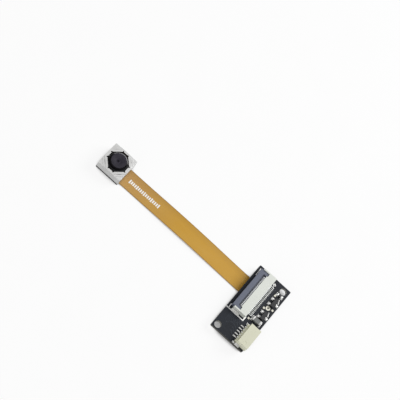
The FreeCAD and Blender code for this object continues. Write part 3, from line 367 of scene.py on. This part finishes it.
HOUSING = srgb(226, 229, 222)
MATERIALS = {
    "polyimide": flexible_film("golden_film"),
    "stiffener": plastic("stiffener_laminate", srgb(28, 28, 30), 0.5, specular=0.3),
    "sensor_silicon": coated_lens("sensor_silicon", srgb(66, 76, 92), srgb(52, 60, 78), 1.5),
    "chip_epoxy": plastic("chip_epoxy", srgb(44, 44, 46), 0.5, drift=0.12, grain=12.0, depth=0.006,
                          specular=0.3),
    "holder_plastic": plastic("holder_plastic", srgb(26, 26, 27), 0.5, specular=0.3),
    "filter_glass": filter_glass("filter_glass", srgb(190, 225, 235)),
    "can_steel": metal("can_steel", srgb(187, 187, 186), 0.42, stretch=(1, 0.12, 1), grain=4.2,
                       drift=0.04, uneven_by=0.02),
    "magnet_plate": metal("magnet_plate", srgb(40, 40, 42), 0.45),
    # Painted shade: the springs are coloured near black because they lie in the dark slots round the
    # carrier
    "spring_copper": metal("spring_copper", srgb(30, 27, 26), 0.6, stretch=(0.1, 1, 1)),
    # The pale colour is a painted highlight along the far side of the carrier's rim
    "carrier_plastic": carrier_plastic("carrier_plastic", srgb(24, 24, 26), srgb(205, 205, 207)),
    "coil_wire": wound_wire("coil_wire", srgb(196, 110, 62), 0.06),
    # The barrel's darker side colour is painted shade
    "barrel_plastic": barrel_plastic("barrel_plastic", srgb(56, 54, 62), srgb(17, 16, 19)),
    # The lens's dark pupil is painted shade: the dark inside of the barrel seen through the lens
    "lens_plastic": coated_lens("lens_plastic", srgb(60, 56, 68), srgb(14, 12, 20), 0.42),
    "board_laminate": solder_mask("solder_mask", srgb(22, 25, 31), srgb(31, 35, 43), srgb(50, 48, 40)),
    "housing_plastic": plastic("housing_plastic", HOUSING, 0.45, drift=0.02, specular=0.35),
    "slider_plastic": plastic("slider_plastic", srgb(104, 109, 124), 0.5, drift=0.05, specular=0.3),
    "header_plastic": plastic("header_plastic", srgb(220, 220, 197), 0.45, drift=0.02, specular=0.35),
    "tinned_copper": metal("tinned_copper", srgb(196, 196, 193), 0.42, grain=7.0),
    "gold_contact": metal("gold_contact", srgb(222, 182, 100), 0.28),
    "resistor_body": plastic("resistor_body", srgb(30, 30, 34), 0.34, drift=0.1, depth=0.003,
                             specular=0.4),
    "capacitor_body": plastic("capacitor_body", srgb(112, 114, 113), 0.5, drift=0.3, grain=3.0,
                              depth=0.005, specular=0.35),
    "crystal_tray": plastic("crystal_tray", srgb(120, 112, 102), 0.55, drift=0.1, specular=0.3),
    "connector_black": plastic("connector_black", srgb(36, 36, 37), 0.48, specular=0.35),
}

# Finishes of single nodes, in place of their slot's material
NODE_MATERIALS = {
    "ribbon_connector_contacts": metal("ribbon_contacts", srgb(236, 238, 241), 0.5, grain=7.0),
    "ribbon_connector_housing": plastic("ribbon_housing", HOUSING, 0.45, drift=0.02, specular=0.35),
    "test_pads": metal("washed_gold", srgb(176, 174, 163), 0.45, grain=4.0),
    "supply_capacitor_terminals": metal("dull_tin", srgb(158, 158, 157), 0.5, grain=3.0, drift=0.15),
}

# Finishes of the pieces that are drawn here
SOLDER = metal("solder", srgb(194, 194, 193), 0.34, grain=1.6, drift=0.1, depth=0.01)
DULL_SOLDER = metal("dull_solder", srgb(172, 174, 171), 0.5, grain=1.6, drift=0.1, depth=0.01)
PRINT = plastic("white_print", srgb(252, 252, 250), 0.6, drift=0.03, grain=6.0, depth=0.01, specular=0.2)
# Laminate colour, partly real and partly painted shade for the holes' shaded inside
LAMINATE_AND_SHADE = plastic("laminate_and_shade", srgb(150, 149, 142), 0.6, drift=0.1, grain=5.0, depth=0.02,
                        specular=0.2)
COPPER_UNDER_MASK = plastic("copper_under_mask", srgb(44, 49, 58), 0.4, drift=0.12, grain=6.0,
                            specular=0.25)

node_slots = {item["node"]: item["material_slot"] for item in frame["record"]["subparts"]}


def node_material(node):
    """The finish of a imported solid."""
    return NODE_MATERIALS.get(node, MATERIALS[node_slots[node]])


for name, piece in frame["nodes"].items():
    piece.data.materials.clear()
    piece.data.materials.append(node_material(name))


# Painted shade in deep places, where the soft light would leave a pale surface too bright
def paint_shade(material, dark, *limits):
    """Paint shade onto a material where every limit holds: an axis or R for the distance from the lens
    axis, the place in millimetres where the painted shade is full, and the place where it ends."""
    tree = material.node_tree
    base = tree.nodes["Principled BSDF"].inputs["Base Color"]
    vector = coordinates(tree)
    shade_share = None
    for axis, full, gone in limits:
        place = distance_from_axis(tree, vector) if axis == "R" else axis_value(tree, vector, axis)
        within = ramp(tree, place, gone, full)
        shade_share = within if shade_share is None else math_node(tree, "MINIMUM", shade_share, within)
    # The dark colour is painted shade, mixed in where the limits hold
    tree.links.new(mix(tree, shade_share, base.links[0].from_socket, dark), base)


def paint_shade_in_deep_places():
    """Painted shade on the film under the head, the can's inside, and the ribbon connector under its
    slider.
    """
    # Painted shade on the film where it runs under the can
    paint_shade(MATERIALS["polyimide"], srgb(34, 30, 27), ("X", CAN_SIDE - 0.05, CAN_SIDE + 0.05))
    can_inside = CAN_SIDE - CAN_WALL
    # Painted shade on the can's inside, below its top
    paint_shade(MATERIALS["can_steel"], srgb(16, 16, 17), ("R", can_inside - 0.08, can_inside),
           ("Z", CAN_TOP - 0.07, CAN_TOP - 0.03))
    contacts_low = box("ribbon_connector_contacts")[0]
    # Painted shade on the contacts where they run under the slider
    paint_shade(NODE_MATERIALS["ribbon_connector_contacts"], srgb(50, 52, 56),
           ("X", contacts_low.x + 0.2, contacts_low.x + 0.35))
    low, high = box("ribbon_connector_slider")
    # Painted shade on the housing inside its mouth, under the slider
    paint_shade(NODE_MATERIALS["ribbon_connector_housing"], srgb(160, 162, 166),
           ("X", high.x - 0.05, high.x + 0.05), ("Z", high.z - 0.15, high.z - 0.05),
           ("Y", low.y + 0.3, low.y + 0.1), ("Y", high.y - 0.1, high.y + 0.05))


paint_shade_in_deep_places()


# Shapes drawn into a mesh
def prism(form, outline, low, high):
    """A flat outline raised between two heights."""
    rings = [[form.verts.new((x, y, z)) for x, y in outline] for z in (low, high)]
    form.faces.new(rings[0][::-1])
    form.faces.new(rings[1])
    for i in range(len(outline)):
        j = (i + 1) % len(outline)
        form.faces.new((rings[0][i], rings[0][j], rings[1][j], rings[1][i]))


def plate(form, x_low, x_high, y_low, y_high, low, high, corner):
    """A thin plate with its corners cut."""
    prism(form, [(x_low + corner, y_low), (x_high - corner, y_low), (x_high, y_low + corner),
                 (x_high, y_high - corner), (x_high - corner, y_high), (x_low + corner, y_high),
                 (x_low, y_high - corner), (x_low, y_low + corner)], low, high)


def pad(form, x_low, x_high, y_low, y_high, corner=0.06):
    """A tinned pad on the board."""
    plate(form, x_low, x_high, y_low, y_high, TOP, PAD_TOP, corner)


def line(form, path, width, thickness):
    """A line of even width on the board, along a path of straight runs."""
    points = [Vector(p) for p in path]
    left, right = [], []
    for i, point in enumerate(points):
        before = (point - points[i - 1]).normalized() if i else None
        after = (points[i + 1] - point).normalized() if i + 1 < len(points) else None
        directions = [d for d in (before, after) if d is not None]
        along = sum(directions, Vector((0, 0))).normalized()
        normal = Vector((-along.y, along.x))
        reach = width / 2 / max(0.3, along.dot(directions[0]))
        left.append(point + normal * reach)
        right.append(point - normal * reach)
    prism(form, [tuple(p) for p in right + left[::-1]], TOP, TOP + thickness)


def ring(form, centre, inner, outer, low, high, steps):
    """A flat ring."""
    profile = [(inner, low), (outer, low), (outer, high), (inner, high)]
    rows = []
    for i in range(steps):
        angle = 2 * pi * i / steps
        rows.append([form.verts.new((centre[0] + r * cos(angle), centre[1] + r * sin(angle), z))
                     for r, z in profile])
    for i in range(steps):
        first, second = rows[i], rows[(i + 1) % steps]
        for j in range(len(profile)):
            k = (j + 1) % len(profile)
            form.faces.new((first[j], second[j], second[k], first[k]))


def mound(form, x, y, half_x, half_y, height, power=0.6, steps=10):
    """Solder on a pad: a rounded heap, full for a power under 1 and hollow for one over 1."""
    roundness = 0.3

    def place(i, j):
        """A place on the heap, its middle higher than its border."""
        u, v = 2 * i / steps - 1, 2 * j / steps - 1
        rise = height * (1 - max(abs(u), abs(v)) ** 2) ** power
        return (x + half_x * u * sqrt(1 - roundness * v * v),
                y + half_y * v * sqrt(1 - roundness * u * u), PAD_TOP + rise)

    grid = [[form.verts.new(place(i, j)) for j in range(steps + 1)] for i in range(steps + 1)]
    for i in range(steps):
        for j in range(steps):
            face = form.faces.new((grid[i][j], grid[i + 1][j], grid[i + 1][j + 1], grid[i][j + 1]))
            face.smooth = True
    columns = list(zip(*grid))
    sides = (columns[0], grid[-1], columns[-1][::-1], grid[0][::-1])
    form.faces.new([corner for side in sides for corner in side[:-1]][::-1])


def add_piece(name, form, material, body=MAIN_BODY):
    """A finished piece from a mesh in millimetres. It rides on a body, unless none is given."""
    bmesh.ops.recalc_face_normals(form, faces=form.faces)
    bmesh.ops.scale(form, vec=(MM, MM, MM), verts=form.verts)
    mesh = bpy.data.meshes.new(name)
    form.to_mesh(mesh)
    form.free()
    mesh.materials.append(material)
    piece = bpy.data.objects.new(name, mesh)
    scene.collection.objects.link(piece)
    if body:
        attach(piece, body)
    return piece


# Edges as they come out of a mould, a die or a saw
EDGE_RADII = {
    "shield_can": 0.05, "sensor_holder": 0.04, "ribbon_connector_housing": 0.04,
    "wire_connector_housing": 0.02, "upper_regulator_body": 0.03, "lower_regulator_body": 0.03,
    "upper_regulator_leads": 0.02, "lower_regulator_leads": 0.02, "chip_resistor_body": 0.04,
    "chip_resistor_terminals": 0.05, "supply_capacitor_body": 0.08, "supply_capacitor_terminals": 0.08,
    "controller_chip": 0.04, "memory_chip": 0.04, "crystal_base": 0.04, "crystal_lid": 0.06,
    "board_socket": 0.03, "wire_connector_contacts": 0.03, "wire_connector_tabs": 0.03,
    "ribbon_connector_tabs": 0.03, "ribbon_connector_slider": 0.05, "lens_carrier": 0.04,
    "lens_barrel": 0.025,
}
MOVING_NODES = {"ribbon_connector_slider": LOCK_BODY, "lens_carrier": LENS_BODY, "lens_barrel": LENS_BODY}
SAME_PLACE = 0.0005
FLAT_ANGLE = radians(1)
SHARP_ANGLE = radians(35)


def rounded_copy(node, radius, body):
    """The same solid with its sharp edges rounded a little, in the solid's place."""
    form = bmesh.new()
    form.from_mesh(frame["nodes"][node].data)
    bmesh.ops.remove_doubles(form, verts=form.verts, dist=SAME_PLACE * MM)
    bmesh.ops.dissolve_limit(form, angle_limit=FLAT_ANGLE, verts=form.verts, edges=form.edges)
    mesh = bpy.data.meshes.new(node + "_rounded")
    form.to_mesh(mesh)
    form.free()
    mesh.materials.append(node_material(node))
    mesh.shade_smooth()
    piece = bpy.data.objects.new(node + "_rounded", mesh)
    scene.collection.objects.link(piece)
    rounding = piece.modifiers.new("rounded_edges", "BEVEL")
    rounding.width = radius * MM
    rounding.segments = 2
    rounding.limit_method = "ANGLE"
    rounding.angle_limit = SHARP_ANGLE
    rounding.use_clamp_overlap = False
    shading = piece.modifiers.new("even_shading", "WEIGHTED_NORMAL")
    shading.keep_sharp = True
    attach(piece, body)
    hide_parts(node)


for name, radius in EDGE_RADII.items():
    rounded_copy(name, radius, MOVING_NODES.get(name, MAIN_BODY))


# Leaf springs
def quarter_turned(x, y, quarters):
    """A place turned about the lens axis."""
    for _ in range(quarters):
        x, y = -y, x
    return x, y


def octagon_ring(form, sizes, low, high):
    """A flat ring between two octagons, each given by its straight and its slanted sides' distances."""
    loops = []
    for (flat, diagonal), levels in zip(sizes, ((low, high), (high, low))):
        short = diagonal * sqrt(2) - flat
        corners = [quarter_turned(flat, y, quarters) for quarters in range(4) for y in (-short, short)]
        loops += [[form.verts.new((x, y, z)) for x, y in corners] for z in levels]
    for first, second in zip(loops, loops[1:] + loops[:1]):
        for i in range(8):
            j = (i + 1) % 8
            form.faces.new((first[i], first[j], second[j], second[i]))


def bending_spring(node):
    """A leaf spring: its ring rides on the lens body with the carrier, and an arm reaches to each corner,
    on no body.
    """
    low, high = box(node)
    material, finish = node_material(node), node_slots[node]
    outer, inner = [(CARRIER_FLAT - inset, CARRIER_DIAGONAL - inset) for inset in (0, SPRING_RING_WIDTH)]
    form = bmesh.new()
    octagon_ring(form, (outer, inner), low.z, high.z)
    add_piece(node + "_ring", form, material, LENS_BODY)

    edge = high.x
    arm_inner = CARRIER_FLAT + SPRING_ARM_GAP
    arm_outer = arm_inner + SPRING_ARM_WIDTH
    arm_start = SPRING_ARM_WIDTH - SPRING_BRIDGE_START
    arm_end = SPRING_CORNER_LINE - arm_outer
    corner_inner = SPRING_CORNER_LINE - edge
    outline = [(-SPRING_BRIDGE_START, CARRIER_FLAT), (arm_start, CARRIER_FLAT), (arm_start, arm_inner),
               (SPRING_CORNER_LINE - arm_inner, arm_inner), (edge, corner_inner), (edge, edge),
               (corner_inner, edge), (arm_end, arm_outer), (-SPRING_BRIDGE_START, arm_outer)]
    for quarters in range(4):
        form = bmesh.new()
        prism(form, [quarter_turned(x, y, quarters) for x, y in outline], low.z, high.z)
        arm = add_piece(f"{node}_arm_{quarters + 1}", form, material, None)
        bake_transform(arm)
        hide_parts(node)


bending_spring("upper_spring")
bending_spring("lower_spring")


# Mounting holes: the cut glass laminate shows inside
def line_holes():
    """A thin sleeve of bare laminate in each hole, its grey partly painted shade."""
    thickness, end_gap = 0.03, 0.01
    form = bmesh.new()
    for centre in (FAR_HOLE, NEAR_HOLE):
        ring(form, centre, HOLE_RADIUS - thickness, HOLE_RADIUS, BOARD_LOW.z + end_gap, TOP - end_gap, 48)
    add_piece("hole_linings", form, LAMINATE_AND_SHADE)


# Solder
def way_places(node, ways, spacing):
    """The y of each way of a row of contacts."""
    low, high = box(node)
    middle = (low.y + high.y) / 2
    return [middle + (i - (ways - 1) / 2) * spacing for i in range(ways)]


def add_soldering(pads_name, pads, solder_name, solder, material=SOLDER):
    """The pads and the solder of one group of joints, as two pieces."""
    add_piece(pads_name, pads, MATERIALS["tinned_copper"])
    add_piece(solder_name, solder, material)


def solder_ribbon_feet():
    """A pad and a low fillet at each foot of the ribbon connector."""
    pad_half_width, pad_start, pad_end = 0.16, 0.1, 0.12
    tip = box("ribbon_connector_contacts")[1].x
    start = box("ribbon_connector_housing")[1].x
    fillet_x = (start + tip) / 2 + 0.15
    pads = bmesh.new()
    fillets = bmesh.new()
    for y in way_places("ribbon_connector_contacts", RIBBON_WAYS, RIBBON_SPACING):
        pad(pads, start + pad_start, tip + pad_end, y - pad_half_width, y + pad_half_width, corner=0.03)
        mound(fillets, fillet_x, y, half_x=0.55, half_y=0.13, height=0.2, steps=8)
    add_soldering("ribbon_pads", pads, "ribbon_solder", fillets, DULL_SOLDER)


def solder_wire_feet():
    """A pad and a heap of solder at each foot of the wire connector, and at the header's corners."""
    pad_half_width, beyond_foot, header_gap = 0.16, 0.15, 0.05
    beyond_side, inside, beyond_back, corner_length, tab_length = 0.42, 0.22, 0.35, 0.62, 2.3
    foot = box("wire_connector_contacts")[0].x
    header_low, header_high = box("wire_connector_housing")
    back = header_low.x
    pads = bmesh.new()
    heaps = bmesh.new()
    for y in way_places("wire_connector_contacts", WIRE_WAYS, WIRE_SPACING):
        pad(pads, foot - beyond_foot, back - header_gap, y - pad_half_width, y + pad_half_width)
        mound(heaps, foot + 0.08, y, half_x=0.18, half_y=0.13, height=0.12)
    for side, edge in ((1, header_high.y), (-1, header_low.y)):
        outer = edge + side * beyond_side
        low, high = sorted((outer, edge - side * inside))
        pad(pads, back - beyond_back, back + corner_length, low, high)
        mound(heaps, back + 0.12, (low + high) / 2, half_x=0.44, half_y=0.28, height=0.35)
        pad(pads, back + corner_length - 0.02, back + tab_length, *sorted((edge, outer)))
    add_soldering("wire_pads", pads, "wire_solder", heaps)


def solder_regulators():
    """A pad under each lead of a regulator, with solder over the lead's foot."""
    half_x, half_y, lead_width, inset = 0.45, 0.42, 0.42, 0.1
    pads = bmesh.new()
    heaps = bmesh.new()
    for name in ("upper_regulator", "lower_regulator"):
        low, high = box(name + "_leads")
        middle = (low.y + high.y) / 2
        reach = (high.y - low.y - lead_width) / 2
        left, right = low.x + inset, high.x - inset
        for x, y in ((left, middle + reach), (left, middle - reach), (right, middle)):
            pad(pads, x - half_x, x + half_x, y - half_y, y + half_y)
            mound(heaps, x, y, half_x=0.42, half_y=0.38, height=0.22)
    add_soldering("regulator_pads", pads, "regulator_solder", heaps)


def solder_chip_parts():
    """A pad and a hollow fillet at each end of a chip part."""
    beside, rim = 0.18, 0.05
    pads = bmesh.new()
    fillets = bmesh.new()
    for name, reach in (("chip_resistor", 0.4), ("supply_capacitor", 0.3)):
        low, high = box(name + "_terminals")
        middle = (low.y + high.y) / 2
        half_y = (high.y - low.y) / 2 + beside
        for x in (low.x, high.x):
            pad(pads, x - reach, x + reach, middle - half_y, middle + half_y)
            mound(fillets, x, middle, reach - rim, half_y - rim, height=0.45, power=1.6)
    add_soldering("chip_part_pads", pads, "chip_part_solder", fillets)


def solder_ribbon_tabs():
    """The soldered pads of the ribbon connector's tabs."""
    beyond, inside = 0.1, 0.55
    low, high = box("ribbon_connector_tabs")
    form = bmesh.new()
    for y_low, y_high in ((high.y - inside, high.y + beyond), (low.y - beyond, low.y + inside)):
        pad(form, low.x - beyond, high.x + beyond, y_low, y_high)
        mound(form, (low.x + high.x) / 2, (y_low + y_high) / 2, half_x=1.6, half_y=0.25, height=0.1)
    add_piece("ribbon_tab_solder", form, SOLDER)


# Print on the board and on the strip
def print_board():
    """Lines round the ribbon connector, bars at the regulators, and marks at the first way."""
    thin, medium, wide, bar_width = 0.2, 0.26, 0.34, 0.28
    upper_length, lower_lap, right_length = 2.8, 0.9, 1.6
    bar_gap, bar_across, bar_down = 0.75, 0.55, 1.45
    form = bmesh.new()

    def print_line(width, *path):
        """One white line."""
        line(form, path, width, PRINT_THICKNESS)

    low, high = box("ribbon_connector_housing")
    left, right = BOARD_LOW.x + 0.78, high.x + 0.22
    bottom = box("ribbon_connector_tabs")[0].y - 0.1
    print_line(thin, (left, high.y), (left, high.y - upper_length))
    print_line(medium, (left, low.y + lower_lap), (left, bottom))
    print_line(wide, (BOARD_LOW.x + 0.05, bottom), (right, bottom), (right, bottom + right_length))
    for name in ("upper_regulator", "lower_regulator"):
        body_high = box(name + "_body")[1]
        x, y = body_high.x - 0.02, body_high.y + bar_gap
        print_line(bar_width, (x, y), (x + bar_across, y - bar_down))
    corner = box("ribbon_connector_contacts")[1]
    x, y, half = corner.x - 0.4, corner.y + 0.1, 0.3
    prism(form, [(x - half, y), (x + half, y), (x, y + half)], TOP, TOP + PRINT_THICKNESS)
    ring(form, (corner.x - 0.45, corner.y + 1.0), 0.22, 0.55, TOP, TOP + PRINT_THICKNESS, 4)
    add_piece("white_print_lines", form, PRINT)


def strip_rise(x):
    """How far the arched strip stands above its ends at a place along X."""
    start = box("head_stiffener")[1].x + FLEX_STRAIGHT
    end = box("tail_stiffener")[0].x - FLEX_STRAIGHT
    quarter = (end - start) / 4
    radius = (quarter ** 2 + (FLEX_RISE / 2) ** 2) / FLEX_RISE
    run = max(0.0, min(x - start, end - x))
    if run < quarter:
        return radius - sqrt(radius ** 2 - run ** 2)
    return FLEX_RISE - radius + sqrt(radius ** 2 - (run - 2 * quarter) ** 2)


def print_strip():
    """A row of plain ticks, every fourth one longer."""
    start, pitch, ticks, half_width = 6.4, 0.7, 17, 0.22
    long_half, short_half, sunk = 0.66, 0.52, 0.01
    middle = FLEX_MIDDLE - 0.1
    level = box("head_stiffener")[1].z + FLEX_THICKNESS
    form = bmesh.new()
    for i in range(ticks):
        x = start + i * pitch
        half = short_half if i % 4 else long_half
        rise = level + strip_rise(x)
        plate(form, x - half_width, x + half_width, middle - half, middle + half, rise - sunk,
              rise + PRINT_THICKNESS, 0.02)
    add_piece("strip_ticks", form, PRINT)


# Copper under the mask, and small covered holes
def draw_traces():
    """Raised lines of masked copper, each ending in a small covered hole."""
    ribbon_width, wire_width, bundle_width = 0.12, 0.2, 0.11
    slant, bundle_pitch, bundle_drop = 0.7, 0.4, 2.6
    hole_inner, hole_outer, hole_rise = 0.06, 0.17, 0.004
    form = bmesh.new()
    ends = []

    def trace(width, *path):
        """One line, its end kept for the hole there."""
        line(form, path, width, TRACE_THICKNESS)
        ends.append(path[-1])

    tip = box("ribbon_connector_contacts")[1].x + 0.3
    for i, y in enumerate(way_places("ribbon_connector_contacts", RIBBON_WAYS, RIBBON_SPACING)):
        stagger = 0.3 * (i % 2)
        trace(ribbon_width, (tip, y), (tip + 0.28 + stagger, y))
    foot = box("wire_connector_contacts")[0].x - 0.2
    for i, y in enumerate(way_places("wire_connector_contacts", WIRE_WAYS, WIRE_SPACING)):
        x = foot - 0.5
        end = (x - slant - 0.1 - 0.25 * i, y + slant)
        trace(wire_width, (foot, y), (x, y), (x - slant, y + slant), end)
    edge = box("ribbon_connector_tabs")[0].y - 0.5
    for i in range(7):
        x = BOARD_LOW.x + 2.2 + bundle_pitch * i
        y = edge - bundle_drop + bundle_pitch * i
        end = (x + slant + 0.2 + 0.1 * i, y - slant)
        trace(bundle_width, (x, edge), (x, y), (x + slant, y - slant), end)
    for end in ends:
        ring(form, end, hole_inner, hole_outer, TOP, TOP + TRACE_THICKNESS + hole_rise, 16)
    add_piece("masked_traces", form, COPPER_UNDER_MASK)


line_holes()
solder_ribbon_feet()
solder_wire_feet()
solder_regulators()
solder_chip_parts()
solder_ribbon_tabs()
print_board()
print_strip()
draw_traces()

# Camera, fitted to the photograph's perspective: its place in millimetres, its turns and its lens
CAMERA_PLACE = (24.047, -162.646, 347.269)
CAMERA_TURN, CAMERA_TILT, CAMERA_ROLL = 0.735, 0.463, -0.004
CAMERA_SENSOR = 36.0
CAMERA_LENS = 116.09


def add_camera():
    """The photograph's viewpoint."""
    data = bpy.data.cameras.new("camera")
    data.sensor_width = CAMERA_SENSOR
    data.lens = CAMERA_LENS
    data.clip_start = 0.01
    data.clip_end = 20.0
    camera = bpy.data.objects.new("camera", data)
    scene.collection.objects.link(camera)
    turn = (Matrix.Rotation(CAMERA_ROLL, 4, "Y") @ Matrix.Rotation(CAMERA_TILT, 4, "X")
            @ Matrix.Rotation(CAMERA_TURN, 4, "Z"))
    camera.matrix_world = Matrix.Translation(Vector(CAMERA_PLACE) * MM) @ turn
    scene.camera = camera


# Stage, in metres: a pale floor and surround that show white to the camera and in reflections, and
# soft lamps
PART_MIDDLE = Vector((0.03, -0.002, 0))
FLOOR_HALF_SIDE = 1.5
FLOOR_GAP = 0.00002
SURROUND_LIGHT = 0.3


def seen_directly(tree):
    """1 for camera, glossy and transmission rays, and 0 for the rest."""
    paths = tree.nodes.new("ShaderNodeLightPath").outputs
    reflected = math_node(tree, "MAXIMUM", paths["Is Glossy Ray"], paths["Is Transmission Ray"])
    return math_node(tree, "MAXIMUM", paths["Is Camera Ray"], reflected)


def open_air(tree, reach):
    """How open a place is within a reach in millimetres: low under the board, also below its holes."""
    node = tree.nodes.new("ShaderNodeAmbientOcclusion")
    node.samples = 16
    node.inputs["Distance"].default_value = reach * MM
    return node.outputs["AO"]


def floor_paper():
    """Pale paper that glows white where it is seen, and less in the shade under the board."""
    glow_in_shade, glow_in_open, shaded, unshaded = 0.25, 0.88, 0.45, 0.62
    material, tree, shader = new_material("floor_paper", 0.9)
    fibre = spread(tree, noise(tree, coordinates(tree), 0.06), 0, 1)
    paint(tree, shader, mix(tree, fibre, srgb(240, 240, 240), srgb(246, 246, 246)))
    glow = tree.nodes.new("ShaderNodeEmission")
    glow.inputs["Color"].default_value = (1, 1, 1, 1)
    share = spread(tree, open_air(tree, 8.0), glow_in_shade, glow_in_open, shaded, unshaded)
    mixer = tree.nodes.new("ShaderNodeMixShader")
    tree.links.new(math_node(tree, "MULTIPLY", seen_directly(tree), share), mixer.inputs["Fac"])
    tree.links.new(shader.outputs["BSDF"], mixer.inputs[1])
    tree.links.new(glow.outputs["Emission"], mixer.inputs[2])
    tree.links.new(mixer.outputs["Shader"], tree.nodes["Material Output"].inputs["Surface"])
    return material


def add_floor():
    """A wide sheet of paper just under the part."""
    mesh = bpy.data.meshes.new("floor")
    form = bmesh.new()
    bmesh.ops.create_grid(form, x_segments=8, y_segments=8, size=FLOOR_HALF_SIDE)
    form.to_mesh(mesh)
    form.free()
    mesh.materials.append(floor_paper())
    floor = bpy.data.objects.new("floor", mesh)
    floor.location = (PART_MIDDLE.x, 0.0, -FLOOR_GAP)
    scene.collection.objects.link(floor)


def add_surround():
    """The world: white where it is seen, and a plain soft light elsewhere."""
    world = bpy.data.worlds.new("studio")
    scene.world = world
    world.use_nodes = True
    tree = world.node_tree
    strength = spread(tree, seen_directly(tree), SURROUND_LIGHT, 1.0, 0.0, 1.0)
    background = tree.nodes["Background"].inputs
    background["Color"].default_value = (1, 1, 1, 1)
    tree.links.new(strength, background["Strength"])


def soft_lamp(name, place, size, power):
    """A square area lamp that points at the middle of the part."""
    data = bpy.data.lights.new(name, "AREA")
    data.shape = "SQUARE"
    data.size = size
    data.energy = power
    lamp = bpy.data.objects.new(name, data)
    lamp.location = place
    lamp.rotation_euler = (PART_MIDDLE - Vector(place)).to_track_quat("-Z", "Y").to_euler()
    scene.collection.objects.link(lamp)


add_camera()
add_floor()
add_surround()
soft_lamp("key", place=(0.33, 0.36, 0.36), size=0.34, power=2.8)
soft_lamp("fill", place=(-0.1, -0.42, 0.28), size=0.4, power=0.8)
